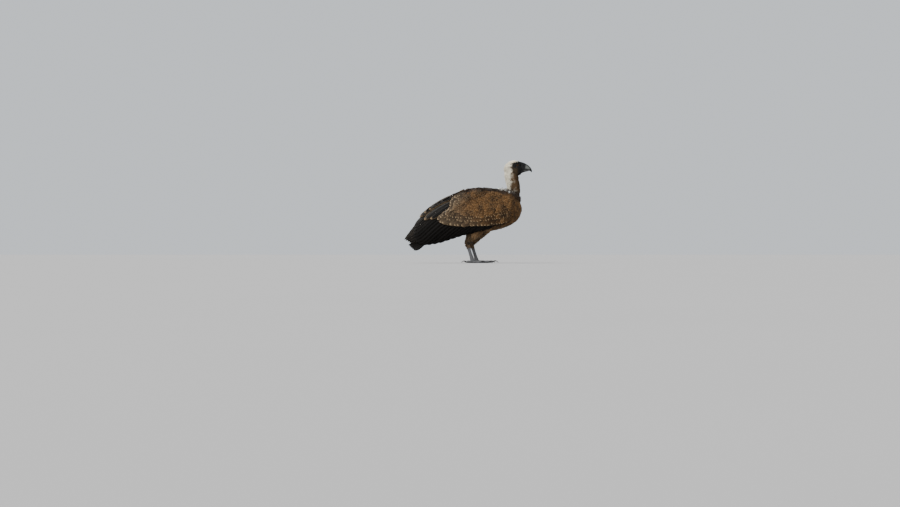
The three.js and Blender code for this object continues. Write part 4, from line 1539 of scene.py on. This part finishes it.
def eye_finish():
    """A dark pupil, a streaked brown iris and a black rim under a wet coat."""
    f = Finish("Eye", Roughness=0.3, Specular_IOR_Level=0.0, Coat_Weight=0.22, Coat_Roughness=0.02)
    to_middle = (-EYE["x"] * MM, 0.0, -EYE["z"] * MM)
    middle = f.add("ShaderNodeMapping", {"Vector": f.place(), "Location": to_middle})
    flat = f.add("ShaderNodeMapping", {"Vector": middle.outputs[0], "Scale": (1.0, 0.0, 1.0)}).outputs[0]
    radius = f.add("ShaderNodeVectorMath", {0: flat}, operation="LENGTH").outputs["Value"]
    iris = f.mix(f.ramp(radius, 0.0062, 0.003), linear((0.14, 0.095, 0.05)), linear((0.33, 0.23, 0.12)))
    iris = f.scaled(iris, f.plus(f.noise(900.0, 3.0), 0.5))
    colour = f.mix(f.ramp(radius, 0.0031, 0.0029), iris, (0.002, 0.002, 0.002))
    f.colour(f.mix(f.ramp(radius, 0.0062, 0.0068), colour, (0.01, 0.008, 0.007)))
    return f.material


def lid_finish():
    """Dark bare skin with fine folds."""
    f = Finish("Eyelids", Roughness=0.6, Specular_IOR_Level=0.2)
    lid = linear(plumage().lid)
    folds = f.noise(620.0, 3.0, stretch=(1.0, 1.0, 2.2))
    f.colour(f.mix(folds, lid * 0.5, lid * 1.6))
    f.bump(folds, 0.0004, 0.8)
    return f.material


class VULTURE_OT_eyes(bpy.types.Operator):
    """Set the two eyes"""

    bl_idname = "vulture.eyes"
    bl_label = "Eyes"

    def execute(self, context):
        finish, bare = eye_finish(), lid_finish()
        for name, side in SIDES.items():
            bpy.ops.object.select_all(action="DESELECT")
            bpy.ops.mesh.primitive_uv_sphere_add(
                segments=48, ring_count=24, radius=EYE["radius"] * MM, rotation=(math.pi / 2, 0, 0),
                location=(EYE["x"] * MM, side * EYE["y"] * MM, EYE["z"] * MM))
            eye = bpy.context.object
            bpy.ops.object.transform_apply(location=True, rotation=True, scale=True)
            eye.data.shade_smooth()
            settle(eye, f"eye_ball_{name}", finish, [f"eye_{name}"])
            rim = lids(side)
            quads = ring_quads(*rim.shape[:2], closed=True)
            lid = mesh_object(f"eyelids_{name}", rim.reshape(-1, 3), quads.ravel(), np.full(len(quads), 4))
            edited(lid, bpy.ops.mesh.normals_make_consistent, inside=False)
            settle(lid, f"eyelids_{name}", bare)
        return {"FINISHED"}


# How far the claws' roots reach into the toes.
CLAW_SUNK = 3 * MM


class VULTURE_OT_claws(bpy.types.Operator):
    """Fit the blunt curved claws"""

    bl_idname = "vulture.claws"
    bl_label = "Claws"

    def execute(self, context):
        finish = horn_finish("Claw horn", 0.4)
        for name in SIDES:
            for toe in TOES:
                node = f"claw_{toe}_{name}"
                claw = merged_copy([node], f"talon_{toe}_{name}")
                root, ahead = claw_root(toe, name)
                co = places(claw.data)
                base = np.linalg.norm(co - root, axis=1) < 6 * MM
                base &= (co - root) @ ahead < 0.8 * MM
                move_to(claw.data, co - ahead * (base * CLAW_SUNK)[:, None])
                modify(claw, "SUBSURF", levels=2, render_levels=2)
                claw.data.shade_smooth()
                marks = np.tile(linear(plumage().claw), (len(claw.data.vertices), 1))
                paint(claw.data, "Marking", marks)
                settle(claw, f"talon_{toe}_{name}", finish, [node])
        return {"FINISHED"}


# ---- Stage ---------------------------------------------------------------------------------------


class VULTURE_OT_stage(bpy.types.Operator):
    """Set the camera, the lights and the pale floor"""

    bl_idname = "vulture.stage"
    bl_label = "Stage"

    def execute(self, context):
        s = context.scene.vulture_stage
        camera = bpy.data.cameras.new("Camera")
        camera.lens, camera.sensor_width = s.lens, 36.0
        camera.clip_end = 200.0
        holder = bpy.data.objects.new("Camera", camera)
        context.scene.collection.objects.link(holder)
        holder.location = (s.camera_x, -s.camera_distance, s.camera_height)
        holder.rotation_euler = (math.pi / 2, 0, 0)
        context.scene.camera = holder

        bpy.ops.object.select_all(action="DESELECT")
        bpy.ops.mesh.primitive_circle_add(vertices=96, radius=90.0, fill_type="NGON")
        floor = bpy.context.object
        floor.name = "floor"
        f = Finish("Pale floor", Roughness=0.95, Specular_IOR_Level=0.1)
        f.colour(f.mix(f.noise(2.0, 3.0), (0.422, 0.422, 0.432), (0.438, 0.438, 0.448)))
        floor.data.materials.append(f.material)

        world = bpy.data.worlds.new("Studio")
        context.scene.world = world
        world.use_nodes = True
        back = world.node_tree.nodes["Background"]
        back.inputs["Color"].default_value = (0.9, 0.95, 1.0, 1.0)
        back.inputs["Strength"].default_value = s.sky
        for name, towards, angle, power, tint in (
            ("Key light", (0.5, -0.55, -0.85), 14.0, s.key, (1.0, 0.95, 0.86)),
            ("Fill light", (0.45, 0.8, -0.5), 50.0, s.fill, (1.0, 0.98, 0.94)),
        ):
            light = bpy.data.lights.new(name, "SUN")
            light.angle, light.energy, light.color = math.radians(angle), power, tint
            lamp = bpy.data.objects.new(name, light)
            context.scene.collection.objects.link(lamp)
            flat = math.hypot(towards[0], towards[1])
            turn = math.atan2(towards[1], towards[0]) - math.pi / 2
            lamp.rotation_euler = (math.atan2(flat, -towards[2]), 0, turn)
        return {"FINISHED"}


# ---- Settings, panel and run ---------------------------------------------------------------------


def colour_property(name, default):
    """A colour with this name and these parts from 0 to 255."""
    return FloatVectorProperty(
        name=name, description=f"{name}, as seen on a screen", subtype="COLOR_GAMMA", size=3, min=0.0,
        max=1.0, default=[value / 255 for value in default])


class VultureColours(bpy.types.PropertyGroup):
    """The colours of the plumage and the bare parts"""

    nape: colour_property("Crown and nape", (255, 247, 226))
    # Partly painted shade on the side of the neck turned from the light.
    throat: colour_property("Front of the neck", (98, 74, 46))
    neck_base: colour_property("Base of the neck", (60, 43, 29))
    # Partly the face's dark skin, partly painted shade.
    face: colour_property("Face", (14, 12, 11))
    cheek: colour_property("Cheek", (70, 55, 34))
    ruff: colour_property("Ruff", (240, 238, 232))
    breast: colour_property("Breast", (88, 62, 34))
    covert: colour_property("Wing coverts", (78, 54, 29))
    belly: colour_property("Belly", (110, 82, 50))
    thigh: colour_property("Thighs", (90, 70, 48))
    # Also the colour of the painted shade along the back's top line and of the painted shadow at the wing's
    # front edge.
    mantle: colour_property("Mantle", (42, 33, 27))
    mantle_edge: colour_property("Mantle edges", (84, 68, 52))
    edge: colour_property("Pale feather edges", (178, 154, 120))
    rear_covert: colour_property("Rear coverts", (76, 60, 43))
    greater: colour_property("Rear greater coverts", (74, 62, 48))
    flight: colour_property("Flight feathers", (15, 13, 12))
    primary_edge: colour_property("Primary edges", (150, 136, 120))
    flight_edge: colour_property("Flight feather edges", (92, 82, 73))
    tertial_tip: colour_property("Tertial tips", (182, 154, 118))
    foot: colour_property("Feet", (98, 98, 100))
    horn: colour_property("Bill", (96, 98, 94))
    horn_tip: colour_property("Bill ridge and tip", (14, 13, 13))
    cere: colour_property("Cere", (12, 12, 13))
    lid: colour_property("Eyelids", (18, 16, 15))
    claw: colour_property("Claws", (30, 27, 25))


class VultureSizes(bpy.types.PropertyGroup):
    """The sizes that set how fine the bird is"""

    skin_voxel: FloatProperty(name="Skin detail", description="Edge of the cells that the skin is made from",
                              default=0.0019, min=0.001, max=0.01, unit="LENGTH", precision=4)


class VultureStage(bpy.types.PropertyGroup):
    """The camera and the lights"""

    camera_x: FloatProperty(
        name="Camera place", description="Where the camera looks along the bird", default=-0.1006,
        unit="LENGTH")
    camera_distance: FloatProperty(
        name="Camera distance", description="From the bird's middle plane", default=12.0, unit="LENGTH")
    camera_height: FloatProperty(
        name="Camera height", description="Above the floor", default=0.055, unit="LENGTH")
    lens: FloatProperty(name="Lens", description="Focal length in millimetres", default=82.8)
    key: FloatProperty(name="Key light", description="Power of the light from behind and above", default=3.0)
    fill: FloatProperty(
        name="Fill light", description="Power of the broad light from the camera's side", default=2.4)
    sky: FloatProperty(name="Surroundings", description="Strength of the pale surroundings", default=0.82)


OPERATORS = (
    VULTURE_OT_skin,
    VULTURE_OT_bill,
    VULTURE_OT_eyes,
    VULTURE_OT_down,
    VULTURE_OT_ruff,
    VULTURE_OT_body,
    VULTURE_OT_coverts,
    VULTURE_OT_flight,
    VULTURE_OT_tail,
    VULTURE_OT_claws,
    VULTURE_OT_stage,
)


class VULTURE_PT_panel(bpy.types.Panel):
    """Lists the pieces in the sidebar"""

    bl_idname = "VULTURE_PT_panel"
    bl_label = "Griffon vulture"
    bl_space_type = "VIEW_3D"
    bl_region_type = "UI"
    bl_category = "Vulture"

    def draw(self, context):
        for operator in OPERATORS:
            self.layout.operator(operator.bl_idname)
        for group in GROUPS:
            settings = getattr(context.scene, group)
            box = self.layout.box()
            for key in settings.__annotations__:
                box.prop(settings, key)


GROUPS = {"vulture_sizes": VultureSizes, "vulture_colours": VultureColours, "vulture_stage": VultureStage}


def register():
    """Makes the settings, the operators and the panel known."""
    for kind in (*GROUPS.values(), *OPERATORS, VULTURE_PT_panel):
        bpy.utils.register_class(kind)
    for name, kind in GROUPS.items():
        setattr(bpy.types.Scene, name, PointerProperty(type=kind))


def unregister():
    """Takes them out again."""
    for name in GROUPS:
        delattr(bpy.types.Scene, name)
    for kind in reversed((*GROUPS.values(), *OPERATORS, VULTURE_PT_panel)):
        bpy.utils.unregister_class(kind)


def main():
    """Builds every piece."""
    register()
    for operator in OPERATORS:
        family, name = operator.bl_idname.split(".")
        getattr(getattr(bpy.ops, family), name)()


if __name__ == "__main__":
    main()
